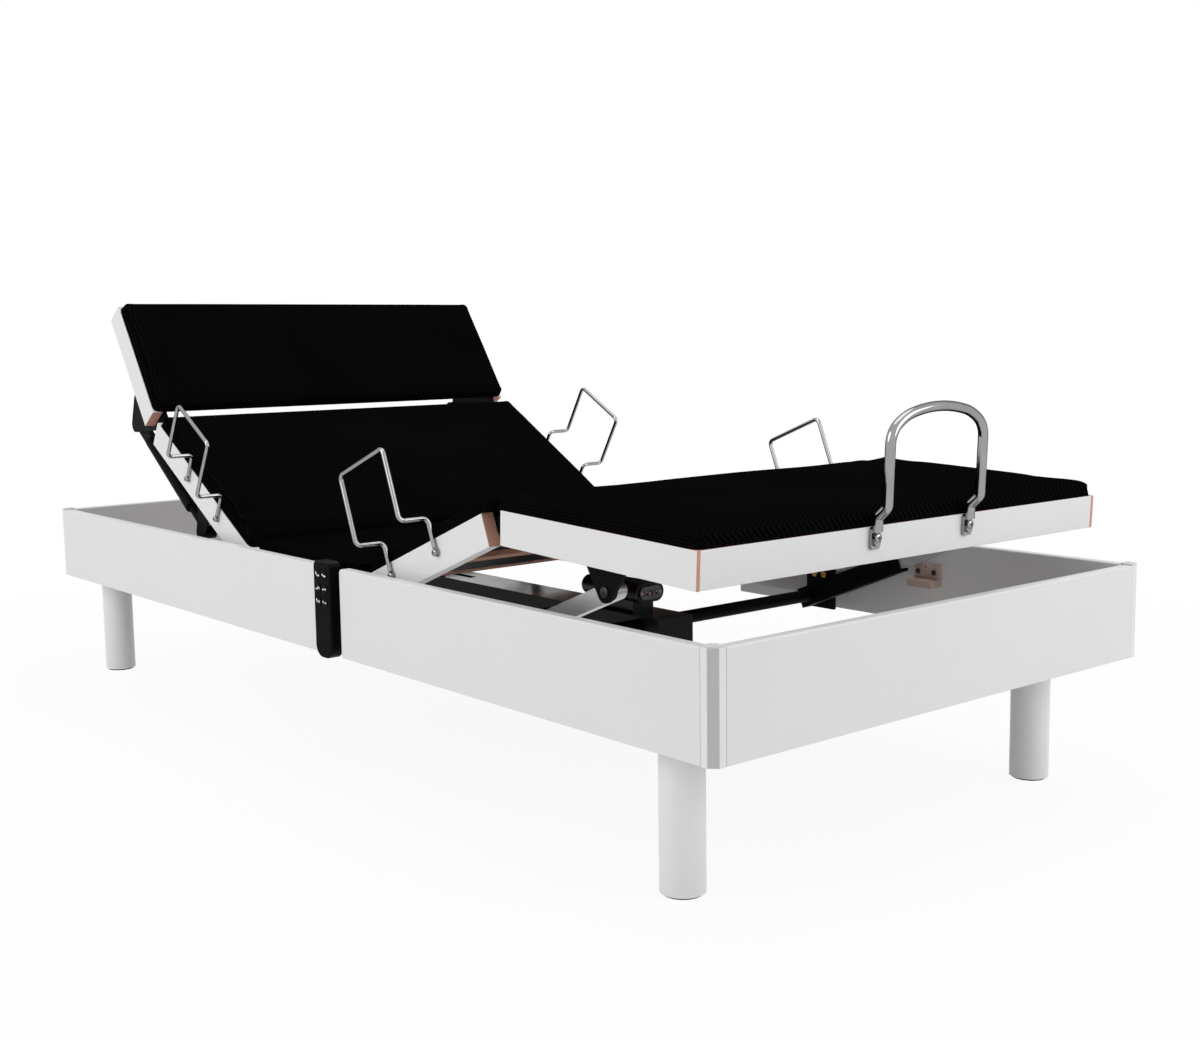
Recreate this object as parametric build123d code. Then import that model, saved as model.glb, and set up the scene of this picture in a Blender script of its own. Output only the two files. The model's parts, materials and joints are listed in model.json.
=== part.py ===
from build123d import *
import os
from math import atan2, cos, degrees, hypot, radians, sin

# Adjustable bed base, millimetres. X runs from head (-X) to foot (+X), Y across, Z up.
# The origin is on the floor under the middle of the surround. The rest pose is half raised.

# Surround
bed_length = 2000.0
bed_width = 900.0
panel_height = 141.0
panel_thickness = 18.0
panel_edge_radius = 2.5
panel_lower_radius = 1.0
panel_gap_middle = 134.0
panel_gap_width = 68.0
panel_gap_corner = 7.0
corner_flange = 22.0
corner_chamfer = 10.6
facet_width = 14.0
facet_depth = 1.2
post_seam = 0.9
post_cap_height = 2.0

# Legs
leg_diameter = 60.0
leg_height = 200.0
glide_diameter = 52.0
glide_height = 3.0
leg_inset_foot = 136.0
leg_inset_head = 92.0
leg_inset_side = 77.5
leg_plate_thickness = 3.0
leg_plate_margin = 15.0
leg_plate_flange = 40.0
leg_bolt_diameter = 10.0
leg_bolt_depth = 30.0
leg_bolt_head_diameter = 18.0
leg_bolt_head_height = 7.0

# Lying platform, flat
platform_drop = 14.0
side_clearance = 16.5
foot_clearance = 21.5
head_clearance = 78.0
rail_thickness = 20.0
rail_height = 49.0
rail_edge_radius = 1.2
end_rail_thickness = 18.0
end_rail_lip = 6.0
deck_thickness = 12.0
deck_side_gap = 10.5
batten_width = 40.0
batten_thickness = 20.0
batten_inset = 100.0
thigh_batten_width = 26.0
thigh_batten_thickness = 8.0
thigh_batten_inset = 112.0
neck_batten_shares = (0.48, 0.82)
neck_batten_gap = 2.0
pad_thickness = 24.0
pad_side_inset = 0.5
pad_corner_radius = 14.0
pad_rings = ((0.0, 1.5), (0.3, 0.0), (0.72, 0.4), (0.9, 5.0), (1.0, 45.0))
pad_fold_slope = 14.0

# Section joints, flat positions and rest angles
pivot_drop = 12.0
back_pivot_x = -193.0
thigh_pivot_x = 188.0
seat_gap = 10.0
neck_pivot_along = 442.0
neck_gap = 13.5
neck_rail_start = 20.0
neck_deck_start = 27.0
neck_pad_start = 19.0
neck_pad_gap = 16.0
knee_along = 365.0
knee_drop = 8.0
knee_gap = 19.5
back_angle = 30.0
back_top_angle = 65.0
neck_angle = 25.5
thigh_angle = 21.5
thigh_top_angle = 35.0
calf_angle = -2.45
pad_gap = 12.5
knee_pad_gap = 2.0

# Hinge plates and pins
plate_thickness = 4.0
plate_play = 0.3
strap_half_height = 11.0
strap_length = 66.0
strap_pad_start = 26.0
pin_diameter = 10.0
pin_play = 0.06
pin_head_diameter = 16.0
pin_head_height = 3.0

# Steel base
base_rail_width = 28.0
base_rail_height = 50.0
base_rail_wall = 2.5
base_rail_head_x = -450.0
base_rail_foot_x = 432.0
base_rail_clearance = 3.0
cross_tube_width = 25.0
cross_tube_height = 28.0
cross_tube_wall = 2.0
cross_tube_x = -310.0
rest_block_x = 620.0
rest_block_width = 50.0
rest_block_height = 36.0
rest_block_wall = 8.0
rest_ledge_thickness = 12.0
rest_ledge_overlap = 13.0
rest_clearance = 0.5
rest_screw_diameter = 7.0
rest_screw_spacing = 33.0
rest_notch_width = 12.0
rest_notch_depth = 7.0

# Leg lift: torsion tube, arms and calf lugs
arm_pivot_x = 404.0
arm_pivot_drop = 86.0
torsion_tube_diameter = 22.0
torsion_tube_wall = 3.0
torsion_end_play = 0.5
bearing_thickness = 6.0
bearing_width = 64.0
bearing_drop = 26.0
bearing_bolt_diameter = 8.0
bearing_bolt_head = 13.0
bearing_bolt_spacing = 22.0
bearing_bolt_drop = 10.0
lug_thickness = 5.0
lug_along = 218.0
lug_drop = 63.0
lug_half_width = 42.0
lug_nose_radius = 15.0
arm_turn_ratio = 0.934
arm_gap = 2.0
arm_width = 22.0
arm_height = 35.0
arm_wall = 2.5
arm_tube_length = 216.0
arm_tail = 22.0
arm_bar_height = 25.0
arm_bar_width = 16.0
arm_bar_overlap = 130.0
arm_bolt_insets = (100.0, 25.0)
arm_bolt_diameter = 8.0
arm_bolt_head = 14.0
arm_bolt_head_height = 3.0
arm_slot_play = 1.2
arm_slot_reach = 2.2
crank_radius = 60.0
crank_tip_radius = 4.0
roller_radius = 12.0
roller_width = 24.0
crank_thickness = 10.0
crank_hub_margin = 0.4

# Back lift: lever under the back hinge
lever_radius = 120.0
lever_tip_radius = 7.0
lever_thickness = 10.0
lever_bar_along = 95.0
lever_bar_size = 25.0
lever_bar_wall = 2.0
lever_shoulder_radius = 16.0

# Central drive
drive_head_x = -330.0
drive_foot_x = 451.0
drive_width = 76.0
drive_drop = 31.0
drive_height = 95.0
drive_wall = 3.0
drive_corner_radius = 8.0
drive_tube_play = 0.6
lever_slot_head_x = -287.0
lever_slot_foot_x = -110.0
lever_slot_play = 3.0
pusher_length = 40.0
back_pusher_height = 72.0
leg_pusher_height = 30.0
pusher_play = 0.3
back_push_gap = 1.3
leg_push_gap = 0.6
push_rod_diameter = 16.0
push_rod_play = 0.06
push_rod_rise = 15.0
push_rod_offset = 15.0
back_rod_length = 270.0
leg_rod_length = 258.0
gear_block_start_x = 40.0
gear_block_length = 100.0
gear_block_height = 72.0
gear_block_gap = 1.4
motor_diameter = 40.0
motor_length = 95.0
motor_rise = 51.0
control_box_foot_x = 390.0
control_box_length = 140.0
control_box_width = 60.0
control_box_height = 32.0
control_box_saddle = 17.0
control_saddle_width = 44.0
socket_panel_width = 48.0
socket_panel_height = 22.0
socket_panel_thickness = 3.0
socket_size = 7.0
socket_depth = 2.0
socket_pitch = 11.0
socket_count = 3

# Neck stays
stay_along = 225.0
stay_drop = 105.0
stay_lug_along = 78.0
stay_lug_drop = 124.0
stay_middle_inset = 17.5
stay_tube_diameter = 26.0
stay_tube_start = 75.0
stay_tube_wall = 4.0
stay_flat_length = 58.0
stay_rod_diameter = 16.0
stay_rod_length = 225.0
stay_rod_play = 0.06
stay_eye_radius = 13.0
stay_eye_width = 12.0
stay_slot_reach = 3.0
stay_slot_play = 1.5
stay_bracket_half_width = 32.0
stay_bracket_radius = 12.0
neck_lug_along = 108.0
neck_lug_shoulder_drop = 84.0
neck_lug_nose = 16.0

# Mattress retainers and foot arch
wire_diameter = 7.0
wire_bend_radius = 9.0
retainer_span = 131.0
retainer_jog_height = 31.0
retainer_jog = 48.0
retainer_height = 142.0
back_retainer_along = 202.0
thigh_retainer_along = 153.0
eyelet_drop = 21.0
eyelet_width = 13.0
eyelet_neck = 8.4
eyelet_thickness = 3.0
wire_foot_drop = 14.0
small_bolt_head = 10.0
small_bolt_head_height = 3.5
arch_tube_diameter = 14.0
arch_half_span = 98.0
arch_shoulder_height = 125.0
arch_haunch_reach = 70.0
arch_haunch_height = 145.0
arch_peak_height = 160.5
arch_shoulder_radius = 32.0
arch_haunch_radius = 80.0
arch_peak_radius = 240.0
arch_jog = 15.0
arch_jog_low = 12.0
arch_jog_high = 27.0
arch_jog_radius = 10.0
arch_foot_drop = 6.0
arch_tab_width = 18.0
arch_tab_length = 30.0
arch_tab_thickness = 5.0
arch_bolt_drop = 14.0
arch_bolt_head = 12.0

# Handset
handset_x = 129.0
handset_hang = 5.0
handset_width = 50.0
handset_length = 154.5
handset_thickness = 20.5
handset_corner_radius = 9.0
handset_end_radius = 20.0
handset_edge_radius = 3.0
cradle_thickness = 6.0
cradle_width = 34.0
cradle_play = 0.3
cradle_rib_width = 8.0
cradle_rib_depth = 3.0
cradle_head_width = 14.0
cradle_head_depth = 3.0
cradle_rib_play = 0.4
button_diameter = 15.5
button_play = 0.06
button_stand = 1.2
button_depth = 6.0
button_room = 2.0
button_column_pitch = 20.0
button_row_pitch = 21.6
button_first_row = 21.4
button_rows = ("back", "legs", "both")

# Derived places
half_length = bed_length / 2
half_width = bed_width / 2
inner_x = half_length - panel_thickness
inner_y = half_width - panel_thickness
panel_bottom = leg_height + glide_height
panel_top = panel_bottom + panel_height
rail_top_flat = panel_top - platform_drop
rail_bottom_flat = rail_top_flat - rail_height
pivot_z = rail_top_flat - pivot_drop
rail_outer = inner_y - side_clearance
rail_inner = rail_outer - rail_thickness
calf_top = pivot_drop + knee_drop
pin_radius = pin_diameter / 2
knee_flat_x = thigh_pivot_x + knee_along
calf_end = inner_x - foot_clearance - knee_flat_x
neck_end = inner_x - head_clearance + back_pivot_x - neck_pivot_along
base_rail_top = rail_bottom_flat - base_rail_clearance
base_rail_bottom = base_rail_top - base_rail_height
base_rail_inner = inner_y - base_rail_width
arm_pivot_z = pivot_z - arm_pivot_drop
drive_top_z = base_rail_top - drive_drop
drive_bottom_z = drive_top_z - drive_height
handset_bottom_z = panel_bottom - handset_hang
drive_seam_z = arm_pivot_z
drive_floor_z = drive_bottom_z + drive_wall
push_rod_z = drive_floor_z + push_rod_rise
arm_outer = rail_inner - lug_thickness - arm_gap
arm_middle = arm_outer - arm_width / 2
stay_middle = rail_inner - stay_middle_inset

# Section frames: local X runs along the section from its pivot, local Z is square to it
seat_place = Pos(0, 0, pivot_z)
back_place = Pos(back_pivot_x, 0, pivot_z) * Rot(0, back_angle, 0) * Rot(0, 0, 180)
neck_place = back_place * Pos(neck_pivot_along, 0, 0) * Rot(0, -neck_angle, 0)
thigh_place = Pos(thigh_pivot_x, 0, pivot_z) * Rot(0, -thigh_angle, 0)
knee_turn = thigh_angle - calf_angle
calf_place = thigh_place * Pos(knee_along, 0, -knee_drop) * Rot(0, knee_turn, 0)


def block(x0, x1, y0, y1, z0, z1):
    """A box given by its limits."""
    middle = Pos((x0 + x1) / 2, (y0 + y1) / 2, (z0 + z1) / 2)
    return middle * Box(x1 - x0, y1 - y0, z1 - z0)


def bar_x(x0, x1, y, z, diameter):
    """A round bar along X."""
    return Pos((x0 + x1) / 2, y, z) * Rot(0, 90, 0) * Cylinder(diameter / 2, x1 - x0)


def bar_y(x, z, y0, y1, diameter):
    """A round bar along Y."""
    return Pos(x, (y0 + y1) / 2, z) * Rot(90, 0, 0) * Cylinder(diameter / 2, y1 - y0)


def bar_z(x, y, z0, z1, diameter):
    """A round bar along Z."""
    return Pos(x, y, (z0 + z1) / 2) * Cylinder(diameter / 2, z1 - z0)


def plate(outline, y0, y1):
    """A plate whose outline is drawn in X and Z, between two Y levels."""
    return extrude(Plane.XZ.offset(-y1) * outline, amount=y1 - y0)


def hull(*circles):
    """The outline wrapped round circles, each given as x, z and radius."""
    edges = []
    for x, z, radius in circles:
        edges += (Pos(x, z) * Circle(radius)).edges()
    return make_hull(edges)


def eye_slot(x, half_height, reach):
    """The outline of a slot along X, longer than round by a reach each way."""
    return Pos(x, 0) * SlotOverall(2 * (half_height + reach), 2 * half_height)


def mirrored(*shapes):
    """The shapes, then their copies across the bed's middle plane."""
    copies = [mirror(shape, about=Plane.XZ) for shape in shapes]
    return list(shapes) + copies


def placed(location, shapes):
    """The shapes moved from a section's frame to the bed's frame."""
    return [location * shape for shape in shapes]


def save(name, shapes):
    """Write one node."""
    solids = []
    for shape in shapes:
        solids += shape.solids()
    export_step(solids[0] if len(solids) == 1 else Compound(solids), f"parts/{name}.step")


def hollow_x(x0, x1, y0, y1, z0, z1, wall):
    """A rectangular tube along X."""
    inside = block(x0, x1, y0 + wall, y1 - wall, z0 + wall, z1 - wall)
    return block(x0, x1, y0, y1, z0, z1) - inside


def hollow_y(x0, x1, y0, y1, z0, z1, wall):
    """A rectangular tube along Y."""
    inside = block(x0 + wall, x1 - wall, y0, y1, z0 + wall, z1 - wall)
    return block(x0, x1, y0, y1, z0, z1) - inside


def side_rails(start, end, top, bottom, has_end_rail=False):
    """The two long rails of a section, rebated where an end rail is let in."""
    rail = block(start, end, rail_inner, rail_outer, bottom, top)
    rail = fillet(rail.edges().filter_by(Axis.X), rail_edge_radius)
    if has_end_rail:
        rail -= block(end - end_rail_thickness, end, rail_inner, rail_outer - end_rail_lip, bottom, top)
    return mirrored(rail)


def end_rail(end, top):
    """The cross rail at a section's free end."""
    reach = rail_outer - end_rail_lip
    rail = block(end - end_rail_thickness, end, -reach, reach, top - rail_height, top)
    return fillet(rail.edges().filter_by(Axis.Y), rail_edge_radius)


def deck(start, end, top):
    """The board under a pad."""
    reach = rail_inner - deck_side_gap
    return block(start, end, -reach, reach, top - deck_thickness, top)


def battens(places, top, width=batten_width, thickness=batten_thickness, reach=rail_inner):
    """Cross battens under the deck, from rail to rail or from lug to lug."""
    high = top - deck_thickness
    low = high - thickness
    half = width / 2
    return [block(x - half, x + half, -reach, reach, low, high) for x in places]


def pad(start, end, top, start_slope=0.0, end_slope=0.0):
    """A mesh pad: near upright sides drawn in at the foot, rounded shoulders, a low crown."""
    reach = rail_outer - pad_side_inset
    rings = []
    for share, inset in pad_rings:
        x0 = start + inset + start_slope * share
        x1 = end - inset - end_slope * share
        ring = RectangleRounded(x1 - x0, 2 * (reach - inset), pad_corner_radius)
        rings.append(Pos((x0 + x1) / 2, 0, top + share * pad_thickness) * ring)
    return loft(rings, ruled=True)


def fixed_strap(x, z, direction):
    """A hinge strap flush on a rail's inner face, with its pin."""
    outline = hull((x, z, strap_half_height), (x + direction * strap_length, z, strap_half_height))
    outer = rail_inner
    inner = rail_inner - plate_thickness
    strap = plate(outline, inner, outer) - bar_y(x, z, inner, outer, pin_diameter)
    head_outer = inner - 2 * plate_play - plate_thickness
    head_inner = head_outer - pin_head_height
    pin = bar_y(x, z, head_outer, outer, pin_diameter)
    pin += bar_y(x, z, head_inner, head_outer, pin_head_diameter)
    return [strap, pin]


def moving_strap(x, z, direction):
    """A hinge strap that runs on the pin, packed out from its own rail."""
    outline = hull((x, z, strap_half_height), (x + direction * strap_length, z, strap_half_height))
    outer = rail_inner - plate_thickness - plate_play
    inner = outer - plate_thickness
    strap = plate(outline, inner, outer) + strap_packer(x, z, direction, outer)
    return strap - bar_y(x, z, inner, outer, pin_diameter + 2 * pin_play)


def strap_packer(x, z, direction, outer):
    """The packing between a running strap and its rail."""
    ends = sorted((x + direction * strap_pad_start, x + direction * strap_length))
    return block(ends[0], ends[1], outer, rail_inner, z - strap_half_height, z + strap_half_height)


def corner_frames():
    """Signs that put one drawn corner into all four corners."""
    return [(sx, sy) for sx in (1, -1) for sy in (1, -1)]


def into_corner(shape, sx, sy):
    """A shape drawn in the +X +Y corner, reflected into another corner."""
    if sx < 0:
        shape = mirror(shape, about=Plane.YZ)
    if sy < 0:
        shape = mirror(shape, about=Plane.XZ)
    return shape


def eased(panel, along):
    """A panel with rounded upper and lightly broken lower long edges."""
    panel = fillet(panel.edges().filter_by(along).group_by(Axis.Z)[0], panel_lower_radius)
    return fillet(panel.edges().filter_by(along).group_by(Axis.Z)[-1], panel_edge_radius)


def make_surround():
    """Panels, corner posts and facet strips."""
    post_x = half_length - corner_flange
    post_y = half_width - corner_flange
    for name, sign in (("head_panel", -1), ("foot_panel", 1)):
        ends = sorted((sign * inner_x, sign * half_length))
        panel = block(ends[0], ends[1], -post_y, post_y, panel_bottom, panel_top)
        save(name, [eased(panel, Axis.Y)])
    gap_head = panel_gap_middle - panel_gap_width / 2
    gap_foot = panel_gap_middle + panel_gap_width / 2
    halves = []
    for x0, x1, gap_end in ((-post_x, gap_head, -1), (gap_foot, post_x, 0)):
        half = block(x0, x1, inner_y, half_width, panel_bottom, panel_top)
        upper = half.edges().filter_by(Axis.Y).group_by(Axis.Z)[-1]
        half = fillet(upper.sort_by(Axis.X)[gap_end], panel_gap_corner)
        halves.append(eased(half, Axis.X))
    save("side_panels", mirrored(*halves))
    edge = half_length - corner_chamfer
    side = half_width - corner_chamfer
    outline = Polyline(
        (post_x, half_width - post_seam), (post_x + post_seam, half_width), (edge, half_width),
        (half_length, side), (half_length, post_y + post_seam), (half_length - post_seam, post_y),
        (inner_x, post_y), (inner_x, inner_y), (post_x, inner_y), close=True,
    )
    profile = make_face(outline)
    post = extrude(Pos(0, 0, panel_bottom) * profile, amount=panel_height)
    cap = extrude(Pos(0, 0, panel_top) * profile, amount=post_cap_height)
    facet_middle = Pos(half_length - corner_chamfer / 2, half_width - corner_chamfer / 2, 0) * Rot(0, 0, 45)
    rise = panel_bottom + panel_height / 2
    strip = facet_middle * Pos(-facet_depth / 2, 0, rise) * Box(facet_depth, facet_width, panel_height)
    post -= strip
    posts = []
    strips = []
    for sx, sy in corner_frames():
        posts += [into_corner(post, sx, sy), into_corner(cap, sx, sy)]
        strips.append(into_corner(strip, sx, sy))
    save("corner_posts", posts)
    save("corner_facets", strips)


def make_legs():
    """Legs, glides and the corner plates that carry them."""
    legs = []
    glides = []
    plates = []
    leg_y = half_width - leg_inset_side
    reach = leg_diameter / 2 + leg_plate_margin
    plate_top = panel_bottom + leg_plate_thickness
    flange_top = plate_top + leg_plate_flange
    for sx, sy in corner_frames():
        leg_x = half_length - (leg_inset_foot if sx > 0 else leg_inset_head)
        leg = bar_z(leg_x, leg_y, glide_height, panel_bottom, leg_diameter)
        bolt = bar_z(leg_x, leg_y, panel_bottom - leg_bolt_depth, plate_top, leg_bolt_diameter)
        low_x = leg_x - reach
        low_y = leg_y - reach
        corner = block(low_x, inner_x, low_y, inner_y, panel_bottom, plate_top)
        corner += block(low_x, inner_x, inner_y - leg_plate_thickness, inner_y, plate_top, flange_top)
        corner += block(inner_x - leg_plate_thickness, inner_x, low_y, inner_y, plate_top, flange_top)
        head = Pos(leg_x, leg_y, plate_top) * RegularPolygon(leg_bolt_head_diameter / 2, 6)
        whole_bolt = bolt + extrude(head, amount=leg_bolt_head_height)
        glide = bar_z(leg_x, leg_y, 0, glide_height, glide_diameter)
        legs.append(into_corner(leg - bolt, sx, sy))
        glides.append(into_corner(glide, sx, sy))
        plates += [into_corner(corner - bolt, sx, sy), into_corner(whole_bolt, sx, sy)]
    save("legs", legs)
    save("leg_glides", glides)
    save("leg_plates", plates)


def make_base():
    """Steel side rails, cross tubes, torsion tube bearings and rest blocks."""
    rail = hollow_x(
        base_rail_head_x, base_rail_foot_x, base_rail_inner, inner_y, base_rail_bottom, base_rail_top,
        base_rail_wall,
    )
    half = cross_tube_width / 2
    cross_tube = hollow_y(
        cross_tube_x - half, cross_tube_x + half, -base_rail_inner, base_rail_inner,
        drive_top_z, drive_top_z + cross_tube_height, cross_tube_wall,
    )
    save("base_frame", [*mirrored(rail), cross_tube])
    inner = base_rail_inner - bearing_thickness
    bearing = block(
        arm_pivot_x - bearing_width / 2, arm_pivot_x + bearing_width / 2, inner, base_rail_inner,
        arm_pivot_z - bearing_drop, base_rail_top,
    )
    bore = torsion_tube_diameter + 2 * pin_play
    bearing -= bar_y(arm_pivot_x, arm_pivot_z, inner, base_rail_inner, bore)
    bolt_z = base_rail_top - bearing_bolt_drop
    bolts = []
    for side in (-1, 1):
        x = arm_pivot_x + side * bearing_bolt_spacing / 2
        head = Plane.XZ.offset(-inner) * (Pos(x, bolt_z) * RegularPolygon(bearing_bolt_head / 2, 6))
        bolts.append(extrude(head, amount=bearing_bolt_diameter / 2))
    save("tube_bearings", mirrored(bearing, *bolts))
    ledge_top = rail_bottom_flat - rest_clearance
    ledge_bottom = ledge_top - rest_ledge_thickness
    low = rest_block_x - rest_block_width / 2
    high = rest_block_x + rest_block_width / 2
    wall_top = ledge_bottom + rest_block_height
    rest = block(low, high, inner_y - rest_block_wall, inner_y, ledge_bottom, wall_top)
    rest += block(low, high, rail_outer - rest_ledge_overlap, inner_y, ledge_bottom, ledge_top)
    screw_z = ledge_top + (rest_block_height - rest_ledge_thickness) / 2
    for side in (-1, 1):
        x = rest_block_x + side * rest_screw_spacing / 2
        rest -= bar_y(x, screw_z, inner_y - rest_block_wall, inner_y, rest_screw_diameter)
    notch = rest_notch_width / 2
    rest -= block(
        rest_block_x - notch, rest_block_x + notch, inner_y - rest_block_wall, inner_y,
        wall_top - rest_notch_depth, wall_top,
    )
    rests = [into_corner(rest, sx, sy) for sx, sy in corner_frames()]
    save("rest_blocks", rests)


def make_seat():
    """The fixed seat, with the straps that carry the back and the thigh."""
    start = back_pivot_x + seat_gap
    end = thigh_pivot_x - seat_gap
    seat_bottom = base_rail_top - pivot_z
    save("seat_rails", placed(seat_place, side_rails(start, end, pivot_drop, seat_bottom)))
    boards = [deck(start, end, pivot_drop)]
    boards += battens((start + batten_inset, end - batten_inset), pivot_drop)
    save("seat_deck", placed(seat_place, boards))
    cushion = pad(back_pivot_x + pad_gap, thigh_pivot_x - pad_gap, pivot_drop, pad_fold_slope)
    save("seat_pad", placed(seat_place, [cushion]))
    straps = fixed_strap(back_pivot_x, 0, 1) + fixed_strap(thigh_pivot_x, 0, -1)
    save("seat_hinges", placed(seat_place, mirrored(*straps)))


def make_back():
    """The back section with its lever, stay brackets and retainers."""
    end = neck_pivot_along - neck_gap
    rails = side_rails(seat_gap, end, pivot_drop, pivot_drop - rail_height)
    save("back_rails", placed(back_place, rails))
    places = (lever_bar_along + batten_inset / 2, end - batten_inset)
    save("back_battens", placed(back_place, battens(places, pivot_drop)))
    save("back_deck", placed(back_place, [deck(seat_gap, end, pivot_drop)]))
    cushion = pad(pad_gap, neck_pivot_along - neck_pad_gap, pivot_drop, pad_fold_slope)
    save("back_pad", placed(back_place, [cushion]))
    brackets = [moving_strap(0, 0, 1), *fixed_strap(neck_pivot_along, 0, -1), stay_bracket()]
    save("back_brackets", placed(back_place, mirrored(*brackets)))
    save("back_lever", placed(back_place, [back_lever()]))
    wire, bolts = retainer(back_retainer_along, pivot_drop)
    save("back_retainers", placed(back_place, mirrored(wire)))
    save("back_retainer_bolts", placed(back_place, mirrored(*bolts)))


def stay_bracket():
    """The hanging plate and pin that a neck stay swings on."""
    inner = rail_inner - plate_thickness
    root = -batten_thickness
    outline = hull(
        (stay_along - stay_bracket_half_width, root, plate_thickness),
        (stay_along + stay_bracket_half_width, root, plate_thickness),
        (stay_along, -stay_drop, stay_bracket_radius),
    )
    pin_end = stay_middle - stay_tube_diameter / 2 - plate_play
    pin = bar_y(stay_along, -stay_drop, pin_end, inner, pin_diameter)
    head = bar_y(stay_along, -stay_drop, pin_end - pin_head_height, pin_end, pin_head_diameter)
    return plate(outline, inner, rail_inner) + pin + head


def back_lever():
    """Cross bar under the back with the lever that the drive pushes."""
    half = lever_bar_size / 2
    high = pivot_drop - deck_thickness
    bar = hollow_y(
        lever_bar_along - half, lever_bar_along + half, -rail_inner, rail_inner,
        high - lever_bar_size, high, lever_bar_wall,
    )
    middle = radians(back_top_angle / 2)
    tip_x = -lever_radius * sin(middle)
    tip_z = -lever_radius * cos(middle)
    shoulder = (lever_bar_along, high - half - lever_bar_wall, lever_shoulder_radius)
    outline = hull(shoulder, (tip_x, tip_z, lever_tip_radius))
    lever = plate(outline, -lever_thickness / 2, lever_thickness / 2)
    lever += bar_y(tip_x, tip_z, -roller_width / 2, roller_width / 2, 2 * roller_radius)
    lever -= block(
        lever_bar_along - lever_bar_size, lever_bar_along + lever_bar_size, -lever_thickness, lever_thickness,
        high - half, high + lever_bar_size,
    )
    lever -= block(
        lever_bar_along - half, lever_bar_along + half, -lever_thickness, lever_thickness,
        high - lever_bar_size, high,
    )
    return bar + lever


def make_neck():
    """The neck section with the lugs that its stays hold."""
    bottom = pivot_drop - rail_height
    rails = side_rails(neck_rail_start, neck_end, pivot_drop, bottom, True)
    save("neck_rails", placed(neck_place, rails + [end_rail(neck_end, pivot_drop)]))
    inner_end = neck_end - end_rail_thickness
    outer = rail_inner - plate_thickness - plate_play
    inner = outer - plate_thickness
    span = inner_end - neck_deck_start
    places = [neck_deck_start + part * span for part in neck_batten_shares]
    boards = [deck(neck_deck_start, inner_end, pivot_drop)]
    boards += battens(places, pivot_drop, reach=inner - neck_batten_gap)
    save("neck_deck", placed(neck_place, boards))
    cushion = pad(neck_pad_start, neck_end - pad_side_inset, pivot_drop)
    save("neck_pad", placed(neck_place, [cushion]))
    outline = hull(
        (0, 0, strap_half_height), (neck_lug_along, 0, strap_half_height),
        (neck_lug_along, -neck_lug_shoulder_drop, neck_lug_nose),
        (stay_lug_along, -stay_lug_drop, neck_lug_nose),
    )
    lug = plate(outline, inner, outer) + strap_packer(0, 0, 1, outer)
    lug -= bar_y(0, 0, inner, outer, pin_diameter + 2 * pin_play)
    pin_end = stay_middle - stay_eye_width / 2 - plate_play
    lug += bar_y(stay_lug_along, -stay_lug_drop, pin_end, inner, pin_diameter)
    lug += bar_y(stay_lug_along, -stay_lug_drop, pin_end - pin_head_height, pin_end, pin_head_diameter)
    save("neck_lugs", placed(neck_place, mirrored(lug)))


def make_stays():
    """Telescopic stays between the back and the neck lugs."""
    turn = radians(neck_angle)
    pin_x = neck_pivot_along + stay_lug_along * cos(turn) + stay_lug_drop * sin(turn)
    pin_z = stay_lug_along * sin(turn) - stay_lug_drop * cos(turn)
    run = pin_x - stay_along
    rise = pin_z + stay_drop
    length = hypot(run, rise)
    place = back_place * Pos(stay_along, 0, -stay_drop) * Rot(0, -degrees(atan2(rise, run)), 0)
    half = stay_tube_diameter / 2
    rod = bar_x(0, stay_rod_length, stay_middle, 0, stay_rod_diameter)
    rod += bar_y(0, 0, stay_middle - half, stay_middle + half, stay_tube_diameter)
    rod -= bar_y(0, 0, stay_middle - half, stay_middle + half, pin_diameter + 2 * pin_play)
    save("stay_rods", placed(place, mirrored(rod)))
    near = stay_middle - stay_eye_width / 2
    far = stay_middle + stay_eye_width / 2
    flat_start = length - stay_flat_length
    bore_end = flat_start - stay_tube_wall
    tube = bar_x(stay_tube_start, flat_start, stay_middle, 0, stay_tube_diameter)
    tube += plate(hull((flat_start, 0, half), (length, 0, half)), near, far)
    tube += plate(eye_slot(length, stay_eye_radius, stay_slot_reach), near, far)
    tube -= plate(eye_slot(length, pin_radius + stay_slot_play, stay_slot_reach), near, far)
    tube -= bar_x(stay_tube_start, bore_end, stay_middle, 0, stay_rod_diameter + 2 * stay_rod_play)
    save("stay_tubes", placed(place, mirrored(tube)))


def make_thigh():
    """The thigh section."""
    end = knee_along - knee_gap
    rails = side_rails(seat_gap, end, pivot_drop, pivot_drop - rail_height)
    save("thigh_rails", placed(thigh_place, rails))
    places = (seat_gap + thigh_batten_inset, end - thigh_batten_inset)
    strips = battens(places, pivot_drop, thigh_batten_width, thigh_batten_thickness)
    save("thigh_battens", placed(thigh_place, strips))
    save("thigh_deck", placed(thigh_place, [deck(seat_gap, end, pivot_drop)]))
    cushion = pad(pad_gap, knee_along - knee_pad_gap, pivot_drop)
    save("thigh_pad", placed(thigh_place, [cushion]))
    straps = [moving_strap(0, 0, 1), *fixed_strap(knee_along, -knee_drop, -1)]
    save("thigh_hinges", placed(thigh_place, mirrored(*straps)))
    wire, bolts = retainer(thigh_retainer_along, pivot_drop)
    save("thigh_retainers", placed(thigh_place, mirrored(wire)))
    save("thigh_retainer_bolts", placed(thigh_place, mirrored(*bolts)))


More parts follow.
